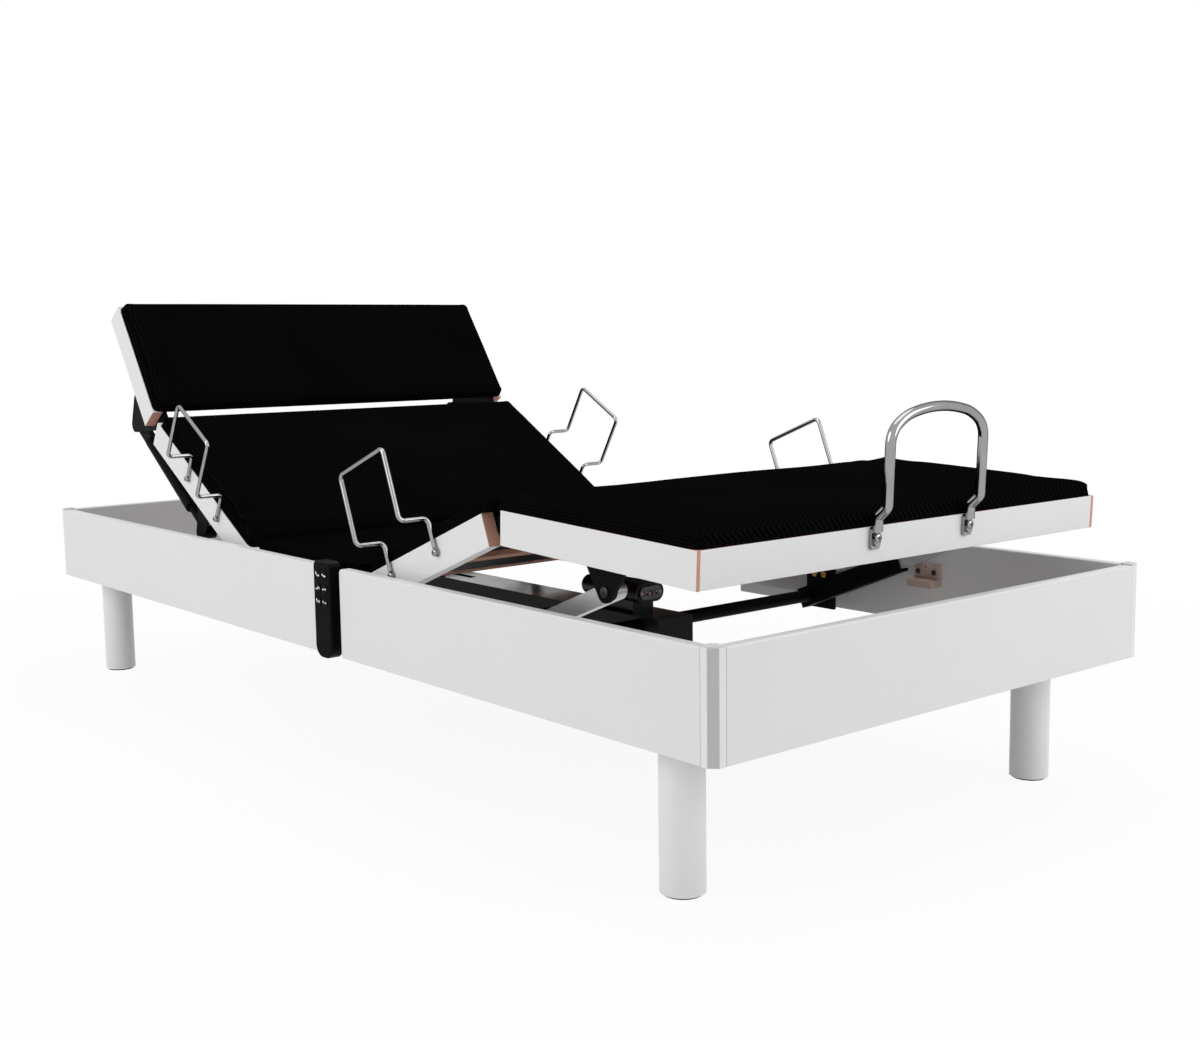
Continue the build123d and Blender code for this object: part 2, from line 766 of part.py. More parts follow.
def make_calf():
    """The calf section with its lugs and the foot arch."""
    rails = side_rails(knee_gap, calf_end, calf_top, calf_top - rail_height, True)
    save("calf_rails", placed(calf_place, rails + [end_rail(calf_end, calf_top)]))
    inner_end = calf_end - end_rail_thickness
    places = (knee_gap + batten_inset, inner_end - batten_inset)
    save("calf_battens", placed(calf_place, battens(places, calf_top)))
    save("calf_deck", placed(calf_place, [deck(knee_gap, inner_end, calf_top)]))
    cushion = pad(knee_pad_gap, calf_end - pad_side_inset, calf_top)
    save("calf_pad", placed(calf_place, [cushion]))
    save("calf_brackets", placed(calf_place, mirrored(moving_strap(0, 0, 1), calf_lug())))
    save("foot_arch", placed(calf_place, foot_arch()))


def calf_lug():
    """The hanging lug and pin that a leg arm lifts."""
    inner = rail_inner - lug_thickness
    root = calf_top - rail_height + strap_half_height
    outline = hull(
        (lug_along - lug_half_width, root, lug_thickness), (lug_along + lug_half_width, root, lug_thickness),
        (lug_along, -lug_drop, lug_nose_radius),
    )
    bar_outer = arm_middle + arm_bar_width / 2 + plate_play
    bar_inner = arm_middle - arm_bar_width / 2 - plate_play
    lug = plate(outline, inner, rail_inner)
    lug += bar_y(lug_along, -lug_drop, bar_outer, inner, pin_head_diameter)
    lug += bar_y(lug_along, -lug_drop, bar_inner, bar_outer, pin_diameter)
    lug += bar_y(lug_along, -lug_drop, bar_inner - pin_head_height, bar_inner, pin_head_diameter)
    return lug


def retainer(along, top):
    """A bent wire mattress retainer on a rail's outer face, and its two bolts."""
    close = rail_outer + wire_diameter / 2
    far = close + retainer_jog
    foot = top - wire_foot_drop
    jog = top + retainer_jog_height
    high = top + retainer_height
    half = retainer_span / 2
    path = FilletPolyline(
        (along - half, close, foot), (along - half, close, jog), (along - half, far, jog),
        (along - half, far, high), (along + half, far, high), (along + half, far, jog),
        (along + half, close, jog), (along + half, close, foot), radius=wire_bend_radius,
    )
    wire = sweep(Plane(path @ 0, z_dir=path % 0) * Circle(wire_diameter / 2), path=path)
    bolts = []
    for side in (-1, 1):
        x = along + side * half
        eye_z = top - eyelet_drop
        outline = hull((x, eye_z, eyelet_width / 2), (x, foot, eyelet_neck / 2))
        wire += plate(outline, rail_outer, rail_outer + eyelet_thickness)
        face = rail_outer + eyelet_thickness
        bolts.append(bar_y(x, eye_z, face, face + small_bolt_head_height, small_bolt_head))
    return wire, bolts


def foot_arch():
    """The bent tube arch on the foot rail, with flattened tabs and bolts."""
    close = calf_end + arch_tube_diameter / 2
    far = close + arch_jog
    low = calf_top - arch_foot_drop
    jog_low = calf_top + arch_jog_low
    jog_high = calf_top + arch_jog_high
    shoulder = calf_top + arch_shoulder_height
    haunch = calf_top + arch_haunch_height
    peak = calf_top + arch_peak_height
    bends = [arch_jog_radius] * 2 + [arch_shoulder_radius, arch_haunch_radius]
    path = FilletPolyline(
        (close, -arch_half_span, low), (close, -arch_half_span, jog_low), (far, -arch_half_span, jog_high),
        (far, -arch_half_span, shoulder), (far, -arch_haunch_reach, haunch), (far, 0, peak),
        (far, arch_haunch_reach, haunch), (far, arch_half_span, shoulder),
        (far, arch_half_span, jog_high), (close, arch_half_span, jog_low), (close, arch_half_span, low),
        radius=bends + [arch_peak_radius] + bends[::-1],
    )
    tube = sweep(Plane(path @ 0, z_dir=path % 0) * Circle(arch_tube_diameter / 2), path=path)
    bolts = []
    for side in (-1, 1):
        y = side * arch_half_span
        tab = block(
            calf_end, calf_end + arch_tab_thickness, y - arch_tab_width / 2, y + arch_tab_width / 2,
            low - arch_tab_length + arch_foot_drop, low + arch_foot_drop,
        )
        tube += fillet(tab.edges().filter_by(Axis.X), arch_tab_thickness)
        face = calf_end + arch_tab_thickness
        bolts.append(bar_x(face, face + small_bolt_head_height, y, low - arch_bolt_drop, arch_bolt_head))
    return [tube, *bolts]


def make_leg_lift():
    """Torsion tube with its crank, arm tubes and arm bars."""
    reach = base_rail_inner - torsion_end_play
    tube = bar_y(arm_pivot_x, arm_pivot_z, -reach, reach, torsion_tube_diameter)
    turn = radians(arm_turn_ratio * (thigh_angle - thigh_top_angle / 2))
    tip_x = arm_pivot_x + crank_radius * sin(turn)
    tip_z = arm_pivot_z - crank_radius * cos(turn)
    hub = torsion_tube_diameter / 2 + crank_hub_margin
    outline = hull((arm_pivot_x, arm_pivot_z, hub), (tip_x, tip_z, crank_tip_radius))
    tube += plate(outline, -crank_thickness / 2, crank_thickness / 2)
    tube += bar_y(tip_x, tip_z, -roller_width / 2, roller_width / 2, 2 * roller_radius)
    bore = torsion_tube_diameter - 2 * torsion_tube_wall
    tube -= bar_y(arm_pivot_x, arm_pivot_z, -reach, reach, bore)
    save("torsion_tube", [tube])
    turn = radians(thigh_angle)
    droop = radians(calf_angle)
    knee_x = thigh_pivot_x + knee_along * cos(turn) + knee_drop * sin(turn)
    knee_z = pivot_z + knee_along * sin(turn) - knee_drop * cos(turn)
    run = knee_x + lug_along * cos(droop) + lug_drop * sin(droop) - arm_pivot_x
    rise = knee_z + lug_along * sin(droop) - lug_drop * cos(droop) - arm_pivot_z
    length = hypot(run, rise)
    place = Pos(arm_pivot_x, 0, arm_pivot_z) * Rot(0, -degrees(atan2(rise, run)), 0)
    inner = arm_outer - arm_width
    half = arm_height / 2
    arm = hollow_x(-arm_tail, arm_tube_length, inner, arm_outer, -half, half, arm_wall)
    arm -= bar_y(0, 0, inner, arm_outer, torsion_tube_diameter)
    bar_half = arm_bar_height / 2
    near = arm_middle - arm_bar_width / 2
    far = arm_middle + arm_bar_width / 2
    bar = block(arm_tube_length - arm_bar_overlap, length, near, far, -bar_half, bar_half)
    bar += plate(eye_slot(length, bar_half, arm_slot_reach), near, far)
    bar -= plate(eye_slot(length, pin_radius + arm_slot_play, arm_slot_reach), near, far)
    bolts = []
    for inset in arm_bolt_insets:
        x = arm_tube_length - inset
        shank = bar_y(x, 0, inner, arm_outer, arm_bolt_diameter)
        arm -= shank
        bar -= shank
        head = bar_y(x, 0, arm_outer, arm_outer + arm_bolt_head_height, arm_bolt_head)
        nut = bar_y(x, 0, inner - arm_bolt_head_height, inner, arm_bolt_head)
        bolts.append(shank + head + nut)
    save("arm_tubes", placed(place, mirrored(arm)))
    save("arm_bars", placed(place, mirrored(bar, *bolts)))


def make_drive():
    """Drive casing, gear motors, pushers, control box and sockets."""
    half = drive_width / 2
    inside = half - drive_wall
    head_in = drive_head_x + drive_wall
    foot_in = drive_foot_x - drive_wall
    tube_room = bar_y(
        arm_pivot_x, arm_pivot_z, -half, half, torsion_tube_diameter + 2 * drive_tube_play,
    )
    shell = block(drive_head_x, drive_foot_x, -half, half, drive_bottom_z, drive_seam_z)
    shell = fillet(shell.faces().sort_by(Axis.Z)[0].edges(), drive_corner_radius)
    shell -= block(head_in, foot_in, -inside, inside, drive_floor_z, drive_seam_z)
    save("drive_lower_shell", [shell - tube_room])
    cover = block(drive_head_x, drive_foot_x, -half, half, drive_seam_z, drive_top_z)
    cover -= block(head_in, foot_in, -inside, inside, drive_seam_z, drive_top_z - drive_wall)
    slot_half = lever_thickness / 2 + lever_slot_play
    cover -= block(lever_slot_head_x, lever_slot_foot_x, -slot_half, slot_half, drive_seam_z, drive_top_z)
    save("drive_top_cover", [cover - tube_room])
    make_drive_inside(inside)
    make_control_box()


def make_drive_inside(inside):
    """Gear block with its motors, and the two pushers that slide out of it."""
    gear_end_x = gear_block_start_x + gear_block_length
    gear = block(
        gear_block_start_x, gear_end_x, -inside + gear_block_gap, inside - gear_block_gap,
        drive_floor_z, drive_floor_z + gear_block_height,
    )
    bore = push_rod_diameter + 2 * push_rod_play
    for y in (-push_rod_offset, push_rod_offset):
        gear -= bar_x(gear_block_start_x, gear_end_x, y, push_rod_z, bore)
    motor_z = drive_floor_z + motor_rise
    back_motor = bar_x(gear_block_start_x - motor_length, gear_block_start_x, 0, motor_z, motor_diameter)
    leg_motor = bar_x(gear_end_x, gear_end_x + motor_length, 0, motor_z, motor_diameter)
    save("drive_motors", [gear, back_motor, leg_motor])
    width = inside - pusher_play
    low = drive_floor_z + pusher_play
    lever_turn = radians(back_angle - back_top_angle / 2)
    back_face = back_pivot_x - lever_radius * sin(lever_turn) + roller_radius + back_push_gap
    back_end = back_face + pusher_length
    pusher = block(back_face, back_end, -width, width, low, low + back_pusher_height)
    pusher += bar_x(back_end, back_end + back_rod_length, push_rod_offset, push_rod_z, push_rod_diameter)
    save("back_pusher", [pusher])
    crank_turn = radians(arm_turn_ratio * (thigh_angle - thigh_top_angle / 2))
    leg_face = arm_pivot_x + crank_radius * sin(crank_turn) - roller_radius - leg_push_gap
    leg_end = leg_face - pusher_length
    pusher = block(leg_end, leg_face, -width, width, low, low + leg_pusher_height)
    pusher += bar_x(leg_end - leg_rod_length, leg_end, -push_rod_offset, push_rod_z, push_rod_diameter)
    save("leg_pusher", [pusher])


def make_control_box():
    """The oval control box on the drive, with its socket panel."""
    foot = control_box_foot_x
    head = foot - control_box_length
    middle_z = drive_top_z + control_box_saddle + control_box_height / 2
    face = Plane.YZ.offset(head) * (Pos(0, middle_z) * SlotOverall(control_box_width, control_box_height))
    box = extrude(face, amount=control_box_length)
    half = control_saddle_width / 2
    box += block(head, foot - control_box_saddle, -half, half, drive_top_z, middle_z)
    save("control_box", [box])
    face = Plane.YZ.offset(foot) * (Pos(0, middle_z) * SlotOverall(socket_panel_width, socket_panel_height))
    panel = extrude(face, amount=socket_panel_thickness)
    front = foot + socket_panel_thickness
    for number in range(socket_count):
        y = (number - (socket_count - 1) / 2) * socket_pitch
        side = socket_size / 2
        panel -= block(front - socket_depth, front, y - side, y + side, middle_z - side, middle_z + side)
    save("control_sockets", [panel])


def make_handset():
    """Handset, its buttons and the cradle rib that it hangs on."""
    cradle_front = -inner_y - cradle_thickness
    back_y = cradle_front - cradle_play
    front_y = back_y - handset_thickness
    half = handset_width / 2
    top_z = handset_bottom_z + handset_length
    case = block(handset_x - half, handset_x + half, front_y, back_y, handset_bottom_z, top_z)
    uprights = case.edges().filter_by(Axis.Y).sort_by(Axis.Z)
    case = fillet(uprights[:2], handset_end_radius)
    case = fillet(case.edges().filter_by(Axis.Y).sort_by(Axis.Z)[-2:], handset_corner_radius)
    case = fillet(case.faces().sort_by(Axis.Y)[0].edges(), handset_edge_radius)
    rib_low = base_rail_bottom + cradle_thickness
    rib_high = base_rail_top
    plate_half = cradle_width / 2
    cradle = block(
        handset_x - plate_half, handset_x + plate_half, cradle_front, -inner_y, base_rail_bottom, rib_high,
    )
    stem = cradle_rib_width / 2
    head = cradle_head_width / 2
    stem_y = cradle_front - cradle_rib_depth
    head_y = stem_y - cradle_head_depth
    cradle += block(handset_x - stem, handset_x + stem, stem_y, cradle_front, rib_low, rib_high)
    cradle += block(handset_x - head, handset_x + head, head_y, stem_y, rib_low, rib_high)
    save("handset_cradle", [cradle])
    play = cradle_rib_play
    room_top = rib_high + cradle_play
    case -= block(
        handset_x - stem - play, handset_x + stem + play, stem_y - play, back_y, handset_bottom_z, room_top,
    )
    case -= block(
        handset_x - head - play, handset_x + head + play, head_y - play, stem_y + play,
        handset_bottom_z, room_top,
    )
    pocket_y = front_y + button_depth + button_room
    for row, name in enumerate(button_rows):
        z = top_z - button_first_row - row * button_row_pitch
        for side, action in ((-1, "up"), (1, "down")):
            x = handset_x + side * button_column_pitch / 2
            case -= bar_y(x, z, front_y, pocket_y, button_diameter + 2 * button_play)
            button = bar_y(x, z, front_y - button_stand, front_y + button_depth, button_diameter)
            rim = button.faces().sort_by(Axis.Y)[0].edges()
            save(f"button_{name}_{action}", [fillet(rim, button_stand / 2)])
    save("handset_case", [case])


os.makedirs("parts", exist_ok=True)
make_surround()
make_legs()
make_base()
make_seat()
make_back()
make_neck()
make_stays()
make_thigh()
make_calf()
make_leg_lift()
make_drive()
make_handset()
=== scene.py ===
"""Looks for an adjustable bed base: finishes, mesh pads, screws, key marks and a plain stage."""

import json
import math

import bmesh
import bpy
from bpy.props import FloatProperty, FloatVectorProperty, IntProperty, PointerProperty
from mathutils import Matrix, Vector, noise


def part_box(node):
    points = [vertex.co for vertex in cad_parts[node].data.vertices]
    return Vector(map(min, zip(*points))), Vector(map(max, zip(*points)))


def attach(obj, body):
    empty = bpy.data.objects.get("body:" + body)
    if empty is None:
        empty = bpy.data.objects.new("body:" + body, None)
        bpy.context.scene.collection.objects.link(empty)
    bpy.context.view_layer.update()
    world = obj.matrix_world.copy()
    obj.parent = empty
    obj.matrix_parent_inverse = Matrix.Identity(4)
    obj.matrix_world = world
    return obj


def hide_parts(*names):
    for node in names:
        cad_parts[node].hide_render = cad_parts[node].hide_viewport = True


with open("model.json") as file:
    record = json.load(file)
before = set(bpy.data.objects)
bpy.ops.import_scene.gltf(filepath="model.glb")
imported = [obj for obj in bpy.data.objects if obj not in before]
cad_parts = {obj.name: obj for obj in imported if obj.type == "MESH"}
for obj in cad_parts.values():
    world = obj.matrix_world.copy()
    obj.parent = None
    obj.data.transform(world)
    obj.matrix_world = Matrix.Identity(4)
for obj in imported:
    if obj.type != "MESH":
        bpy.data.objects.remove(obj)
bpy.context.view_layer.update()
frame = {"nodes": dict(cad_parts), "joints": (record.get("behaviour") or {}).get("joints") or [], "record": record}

bl_info = {
    "name": "Adjustable bed base looks",
    "version": (1, 0, 0),
    "blender": (4, 5, 0),
    "location": "View3D > Sidebar > Bed base",
    "description": "Finishes, mesh pads and handset marks for an adjustable bed base",
    "category": "Object",
}


def shade(name, text, default):
    """A colour setting."""
    return FloatVectorProperty(
        name=name, description=text, default=default, subtype="COLOR", size=3, min=0.0, max=1.0
    )


def length(name, text, default):
    """A length setting in metres."""
    return FloatProperty(
        name=name, description=text, default=default, unit="LENGTH", min=0.0, precision=4
    )


def share(name, text, default):
    """A setting from 0 to 1."""
    return FloatProperty(
        name=name, description=text, default=default, subtype="FACTOR", min=0.0, max=1.0
    )


def number(name, text, default):
    """A plain number setting."""
    return FloatProperty(name=name, description=text, default=default)


def angle(name, text, degrees):
    """An angle setting, with its default in degrees."""
    return FloatProperty(
        name=name, description=text, default=math.radians(degrees), subtype="ANGLE"
    )


class SurroundSettings(bpy.types.PropertyGroup):
    """Panels, corner posts and legs."""

    panel: shade("Panel", "Lacquer on the head, foot and side panels", (0.712, 0.712, 0.712))
    post: shade("Post", "Extruded corner posts", (0.74, 0.74, 0.74))
    cap: shade("Cap", "Moulded caps on the corner posts", (0.66, 0.65, 0.63))
    facet: shade("Facet", "Strip on the corner chamfer", (0.47, 0.47, 0.485))
    leg: shade("Leg", "Powder coat on the legs", (0.76, 0.76, 0.765))
    glide: shade("Glide", "Rubber under the legs", (0.06, 0.06, 0.06))
    gloss: share("Roughness", "Roughness of the lacquer", 0.34)


class SectionSettings(bpy.types.PropertyGroup):
    """Boards of the lying sections."""

    laminate: shade("Laminate", "Faces of the side and end rails", (0.73, 0.73, 0.73))
    core: shade("Board core", "Raw fibreboard where the rails are cut", (0.62, 0.34, 0.26))
    core_dark: shade("Core fibres", "Darker fibres in the raw fibreboard", (0.42, 0.22, 0.16))
    batten: shade("Batten", "Planed face of the cross battens", (0.62, 0.37, 0.27))
    batten_dark: shade("Batten grain", "Grain of the cross battens", (0.43, 0.22, 0.15))
    deck: shade("Deck", "Black faced board under the pads", (0.004, 0.004, 0.0043))


class PadSettings(bpy.types.PropertyGroup):
    """Mesh pads."""

    yarn: shade("Yarn", "Raised yarn of the spacer mesh", (0.0047, 0.0047, 0.005))
    # The hole colour is the black ground seen through the mesh, painted darker than the yarn as the shade inside
    # the holes
    hole_shade: shade("Hole", "Ground seen through the mesh", (0.0003, 0.0003, 0.0003))
    pitch: length("Mesh pitch", "Distance between holes along a row", 0.0056)
    row: length("Row pitch", "Distance between rows of holes", 0.0050)
    start: length("Start below", "How far below the finished crown the cover starts", 0.0022)
    swell: length("Swell", "Most that the cover may move as it fills", 0.0036)
    pressure: number("Pressure", "Pressure inside the cover", 4.0)
    frames: IntProperty(name="Frames", description="Steps of the cloth run", default=20, min=2)
    spacing: length("Spacing", "Distance between mesh lines in the middle of a pad", 0.011)
    unrest: length("Unrest", "Height of the slow unevenness of the cover", 0.0006)


class MetalSettings(bpy.types.PropertyGroup):
    """Steel, chrome and brass."""

    black: shade("Powder coat", "Black coat on tubes, straps and lugs", (0.0025, 0.0025, 0.0027))
    chrome: shade("Chrome", "Wire retainers and foot arch", (0.36, 0.36, 0.365))
    # Chrome rim is painted shade: a dark tint where the chrome turns away, standing in for dark surroundings seen
    # in its reflection
    chrome_rim_shade: shade("Chrome rim", "Tint of the chrome where it turns away", (0.12, 0.12, 0.13))
    zinc: shade("Zinc", "Arm bars, leg plates, pins and bolts", (0.5, 0.5, 0.51))
    brass: shade("Brass", "Bolts of the torsion tube bearings", (0.64, 0.38, 0.1))
    # Recess colour is painted shade: a near-black finish on the box that stands for a screw's driver recess
    recess_shade: shade("Recess", "Driver recess in a screw head", (0.01, 0.01, 0.01))


class DriveSettings(bpy.types.PropertyGroup):
    """Drive casing, control box and rest blocks."""

    casing: shade("Casing", "Moulded lower shell", (0.003, 0.003, 0.0032))
    cover: shade("Cover", "Moulded top cover", (0.006, 0.006, 0.0065))
    socket: shade("Socket panel", "Panel at the end of the control box", (0.1, 0.1, 0.105))
    key_red: shade("Red key", "Red coding inserts in the sockets", (0.45, 0.012, 0.03))
    key_pale: shade("Pale key", "Pale coding inserts in the sockets", (0.5, 0.5, 0.51))
    rest: shade("Rest block", "Moulded blocks that the calf lies on", (0.58, 0.42, 0.37))
    can: shade("Motor can", "Steel of the gear motors", (0.25, 0.25, 0.26))


class HandsetSettings(bpy.types.PropertyGroup):
    """Handset and its marks."""

    case: shade("Case", "Moulded handset case", (0.0015, 0.0015, 0.0016))
    face: shade("Face", "Grained front of the handset", (0.0045, 0.0045, 0.0047))
    key: shade("Key", "Rubber of the keys", (0.001, 0.001, 0.001))
    mark: shade("Mark", "Printed marks on the keys", (0.85, 0.85, 0.86))
    stroke: length("Stroke", "Width of a printed stroke", 0.0024)


class StageSettings(bpy.types.PropertyGroup):
    """Camera, lamps and floor."""

    eye: FloatVectorProperty(
        name="Eye", description="Place of the camera", default=(2.2034, -1.6186, 0.7),
        subtype="TRANSLATION",
    )
    turn: angle("Turn", "Bearing of the camera from the near side", 50.14)
    tilt: angle("Tilt", "How far the camera looks down", 7.03)
    roll: angle("Roll", "Lean of the camera", -0.78)
    lens: number("Lens", "Focal length in millimetres", 45.154)
    floor: shade("Floor", "Pale floor", (0.86, 0.86, 0.865))
    veil: share("Veil", "White mixed into the floor close to the bed", 0.92)
    near: length("Veil start", "Distance from the middle where the floor starts to fade", 0.8)
    far: length("Veil end", "Distance from the middle where the floor is white", 2.4)
    sky: number("Sky", "Even light from all round", 0.55)
    key: number("Key", "Power of the large front lamp in watts", 84.0)
    side: number("Side", "Power of the lamp at the foot end in watts", 50.0)
    top: number("Top", "Power of the overhead lamp in watts", 50.0)


SETTING_GROUPS = (
    ("bed_surround", SurroundSettings),
    ("bed_section", SectionSettings),
    ("bed_pad", PadSettings),
    ("bed_metal", MetalSettings),
    ("bed_drive", DriveSettings),
    ("bed_handset", HandsetSettings),
    ("bed_stage", StageSettings),
)


class Finish:
    """A node material that is being put together."""

    def __init__(self, name):
        self.material = bpy.data.materials.new(name)
        self.material.use_nodes = True
        self.tree = self.material.node_tree
        self.shader = self.tree.nodes["Principled BSDF"]
        self.place = self.add("ShaderNodeTexCoord").outputs["Object"]

    def add(self, kind, inputs=None, **settings):
        """A node with its settings, and its inputs set or linked."""
        made = self.tree.nodes.new(kind)
        for key, value in settings.items():
            setattr(made, key, value)
        for key, value in (inputs or {}).items():
            self.feed(made.inputs[key], value)
        return made

    def feed(self, socket, value):
        """Link a socket to another, or set its value."""
        if isinstance(value, bpy.types.NodeSocket):
            self.tree.links.new(value, socket)
        else:
            socket.default_value = value

    def put(self, **values):
        """Set or link sockets of the shader, with underscores for spaces."""
        for key, value in values.items():
            if not isinstance(value, bpy.types.NodeSocket) and key.endswith(("Color", "Tint")):
                value = (*value, 1.0)
            self.feed(self.shader.inputs[key.replace("_", " ")], value)

    def maths(self, operation, *values):
        """One step of arithmetic."""
        inputs = dict(enumerate(values))
        return self.add("ShaderNodeMath", inputs, operation=operation).outputs[0]

    def stretched(self, scale):
        """The place on the object, scaled unevenly."""
        inputs = {"Vector": self.place, "Scale": scale}
        return self.add("ShaderNodeMapping", inputs).outputs["Vector"]

    def speckle(self, scale, detail=2.0, place=None):
        """Soft noise from 0 to 1; scale is in cells per metre."""
        inputs = {"Vector": place or self.place, "Scale": scale, "Detail": detail}
        return self.add("ShaderNodeTexNoise", inputs).outputs["Fac"]

    def between(self, amount, low, high):
        """An amount from 0 to 1 spread between two numbers."""
        inputs = {"Value": amount, "To Min": low, "To Max": high}
        return self.add("ShaderNodeMapRange", inputs).outputs["Result"]

    def fade(self, amount, start, end, low=0.0, high=1.0):
        """A soft step from low to high while an amount goes from start to end."""
        inputs = {"Value": amount, "From Min": start, "From Max": end}
        inputs.update({"To Min": low, "To Max": high})
        made = self.add("ShaderNodeMapRange", inputs, interpolation_type="SMOOTHSTEP")
        return made.outputs["Result"]

    def ramp(self, amount, *stops):
        """Colours along an amount, each stop given as a place and a colour."""
        made = self.add("ShaderNodeValToRGB", {"Fac": amount})
        points = made.color_ramp.elements
        while len(points) < len(stops):
            points.new(0.5)
        for point, (place, colour) in zip(points, stops):
            point.position = place
            point.color = (*colour, 1.0)
        return made.outputs["Color"]

    def bump(self, height, strength, distance):
        """Relief from a height."""
        inputs = {"Height": height, "Strength": strength, "Distance": distance}
        self.put(Normal=self.add("ShaderNodeBump", inputs).outputs["Normal"])


def darker(colour, amount):
    """A colour scaled down."""
    return tuple(channel * amount for channel in colour)


def lacquer(name, colour, roughness):
    """Satin lacquer or laminate on board, with faint cloud and a fine sprayed surface."""
    finish = Finish(name)
    cloud = finish.speckle(2.3, 3.0)
    finish.put(Base_Color=finish.ramp(cloud, (0.3, darker(colour, 0.975)), (0.7, colour)))
    sheen = finish.speckle(14.0, 3.0)
    finish.put(Roughness=finish.between(sheen, roughness - 0.05, roughness + 0.07))
    finish.put(Specular_IOR_Level=0.42)
    finish.bump(finish.speckle(420.0, 2.0), 0.05, 0.0004)
    return finish.material


def powder_coat(name, colour, roughness=0.42):
    """Powder coat on steel, with a pebbled skin and a little dust."""
    finish = Finish(name)
    dust = finish.speckle(9.0, 4.0)
    dusty = tuple(channel * 1.25 + 0.001 for channel in colour)
    finish.put(Base_Color=finish.ramp(dust, (0.35, colour), (0.8, dusty)))
    sheen = finish.speckle(60.0, 3.0)
    finish.put(Roughness=finish.between(sheen, roughness - 0.06, roughness + 0.1))
    finish.put(Specular_IOR_Level=0.03)
    finish.bump(finish.speckle(1100.0, 2.0), 0.12, 0.0003)
    return finish.material


def moulded(name, colour, roughness, grain=1400.0, relief=0.1, level=0.4):
    """Moulded plastic with a fine spark-eroded grain."""
    finish = Finish(name)
    tone = finish.speckle(30.0, 3.0)
    finish.put(Base_Color=finish.ramp(tone, (0.3, darker(colour, 0.9)), (0.7, colour)))
    sheen = finish.speckle(40.0, 2.0)
    finish.put(Roughness=finish.between(sheen, roughness - 0.05, roughness + 0.05))
    finish.put(Specular_IOR_Level=level)
    finish.bump(finish.speckle(grain, 2.0), relief, 0.0003)
    return finish.material


def bare_metal(
    name, colour, roughness, brush=(60.0, 60.0, 900.0), relief=0.04, rim_shade=(1.0, 1.0, 1.0)
):
    """Plated or drawn metal with faint draw lines."""
    finish = Finish(name)
    lines = finish.speckle(1.0, 4.0, finish.stretched(brush))
    finish.put(Base_Color=finish.ramp(lines, (0.3, darker(colour, 0.88)), (0.7, colour)))
    # The rim tint colours the reflection where the metal turns away; white leaves it bare, a darker tint is
    # painted shade on the rim
    finish.put(Metallic=1.0, Specular_Tint=rim_shade)
    finish.put(Roughness=finish.between(lines, roughness * 0.75, roughness * 1.35))
    finish.bump(lines, relief, 0.0002)
    return finish.material


def cut_board(name, light, dark, stretch):
    """Raw fibreboard or planed timber: short fibres in two tones."""
    finish = Finish(name)
    fibres = finish.speckle(1.0, 6.0, finish.stretched(stretch))
    cloud = finish.speckle(24.0, 2.0)
    fibre_part = finish.maths("MULTIPLY", fibres, 0.75)
    cloud_part = finish.maths("MULTIPLY", cloud, 0.25)
    mixed = finish.maths("ADD", fibre_part, cloud_part)
    middle = tuple((a + b) / 2 for a, b in zip(light, dark))
    finish.put(Base_Color=finish.ramp(mixed, (0.36, dark), (0.48, middle), (0.62, light)))
    finish.put(Roughness=finish.between(fibres, 0.7, 0.9))
    finish.put(Specular_IOR_Level=0.2)
    finish.bump(fibres, 0.3, 0.0006)
    return finish.material


def bare_facet(colour):
    """Grey anodised strip with drawn lines along its height."""
    finish = Finish("facet_anodised")
    lines = finish.speckle(1.0, 3.0, finish.stretched((900.0, 900.0, 6.0)))
    finish.put(Base_Color=finish.ramp(lines, (0.3, darker(colour, 0.93)), (0.7, colour)))
    finish.put(Roughness=finish.between(lines, 0.34, 0.5))
    finish.put(Metallic=0.25)
    finish.bump(lines, 0.05, 0.0002)
    return finish.material


# Numbers of the colour sockets of a mix node, which share their names with other kinds

MIX_FIRST = 6
MIX_SECOND = 7
MIX_RESULT = 2

# Mesh pattern: an even count of rows that keeps the row number positive, and shares of a cell

ROWS_BELOW = 1000.0
HOLE_RADIUS = 0.2
YARN_START = 0.42


def spacer_mesh(settings):
    """Black spacer mesh: staggered rows of small holes with raised yarn between them; the holes are painted darker
    than the yarn as the shade inside them.
    """
    finish = Finish("spacer_mesh")
    axes = finish.add("ShaderNodeSeparateXYZ", {"Vector": finish.place}).outputs
    down = finish.maths("DIVIDE", finish.maths("ADD", axes["Y"], axes["Z"]), settings.row)
    along = finish.maths("DIVIDE", axes["X"], settings.pitch)
    odd = finish.maths("MODULO", finish.maths("ADD", finish.maths("FLOOR", down), ROWS_BELOW), 2.0)
    along = finish.maths("ADD", along, finish.maths("MULTIPLY", odd, 0.5))
    across_x = finish.maths("SUBTRACT", finish.maths("FRACT", along), 0.5)
    across_y = finish.maths("SUBTRACT", finish.maths("FRACT", down), 0.5)
    squares = [finish.maths("POWER", across, 2.0) for across in (across_x, across_y)]
    reach = finish.maths("SQRT", finish.maths("ADD", *squares))
    yarn = finish.fade(reach, HOLE_RADIUS, YARN_START)
    wear = finish.speckle(5.0, 3.0)
    thread = finish.ramp(wear, (0.3, darker(settings.yarn, 0.7)), (0.75, tuple(settings.yarn)))
    # Painted shade: the holes take the darker hole colour, the yarn keeps its own
    mix = finish.add("ShaderNodeMix", {"Factor": yarn}, data_type="RGBA")
    mix.inputs[MIX_FIRST].default_value = (*settings.hole_shade, 1.0)
    finish.tree.links.new(thread, mix.inputs[MIX_SECOND])
    finish.put(Base_Color=mix.outputs[MIX_RESULT])
    finish.put(Roughness=finish.between(yarn, 1.0, 0.9))
    finish.put(Specular_IOR_Level=0.0)
    finish.bump(yarn, 0.7, 0.0012)
    return finish.material


def spin(degrees, axis):
    """A turn as a 4x4 matrix."""
    return Matrix.Rotation(math.radians(degrees), 4, axis)


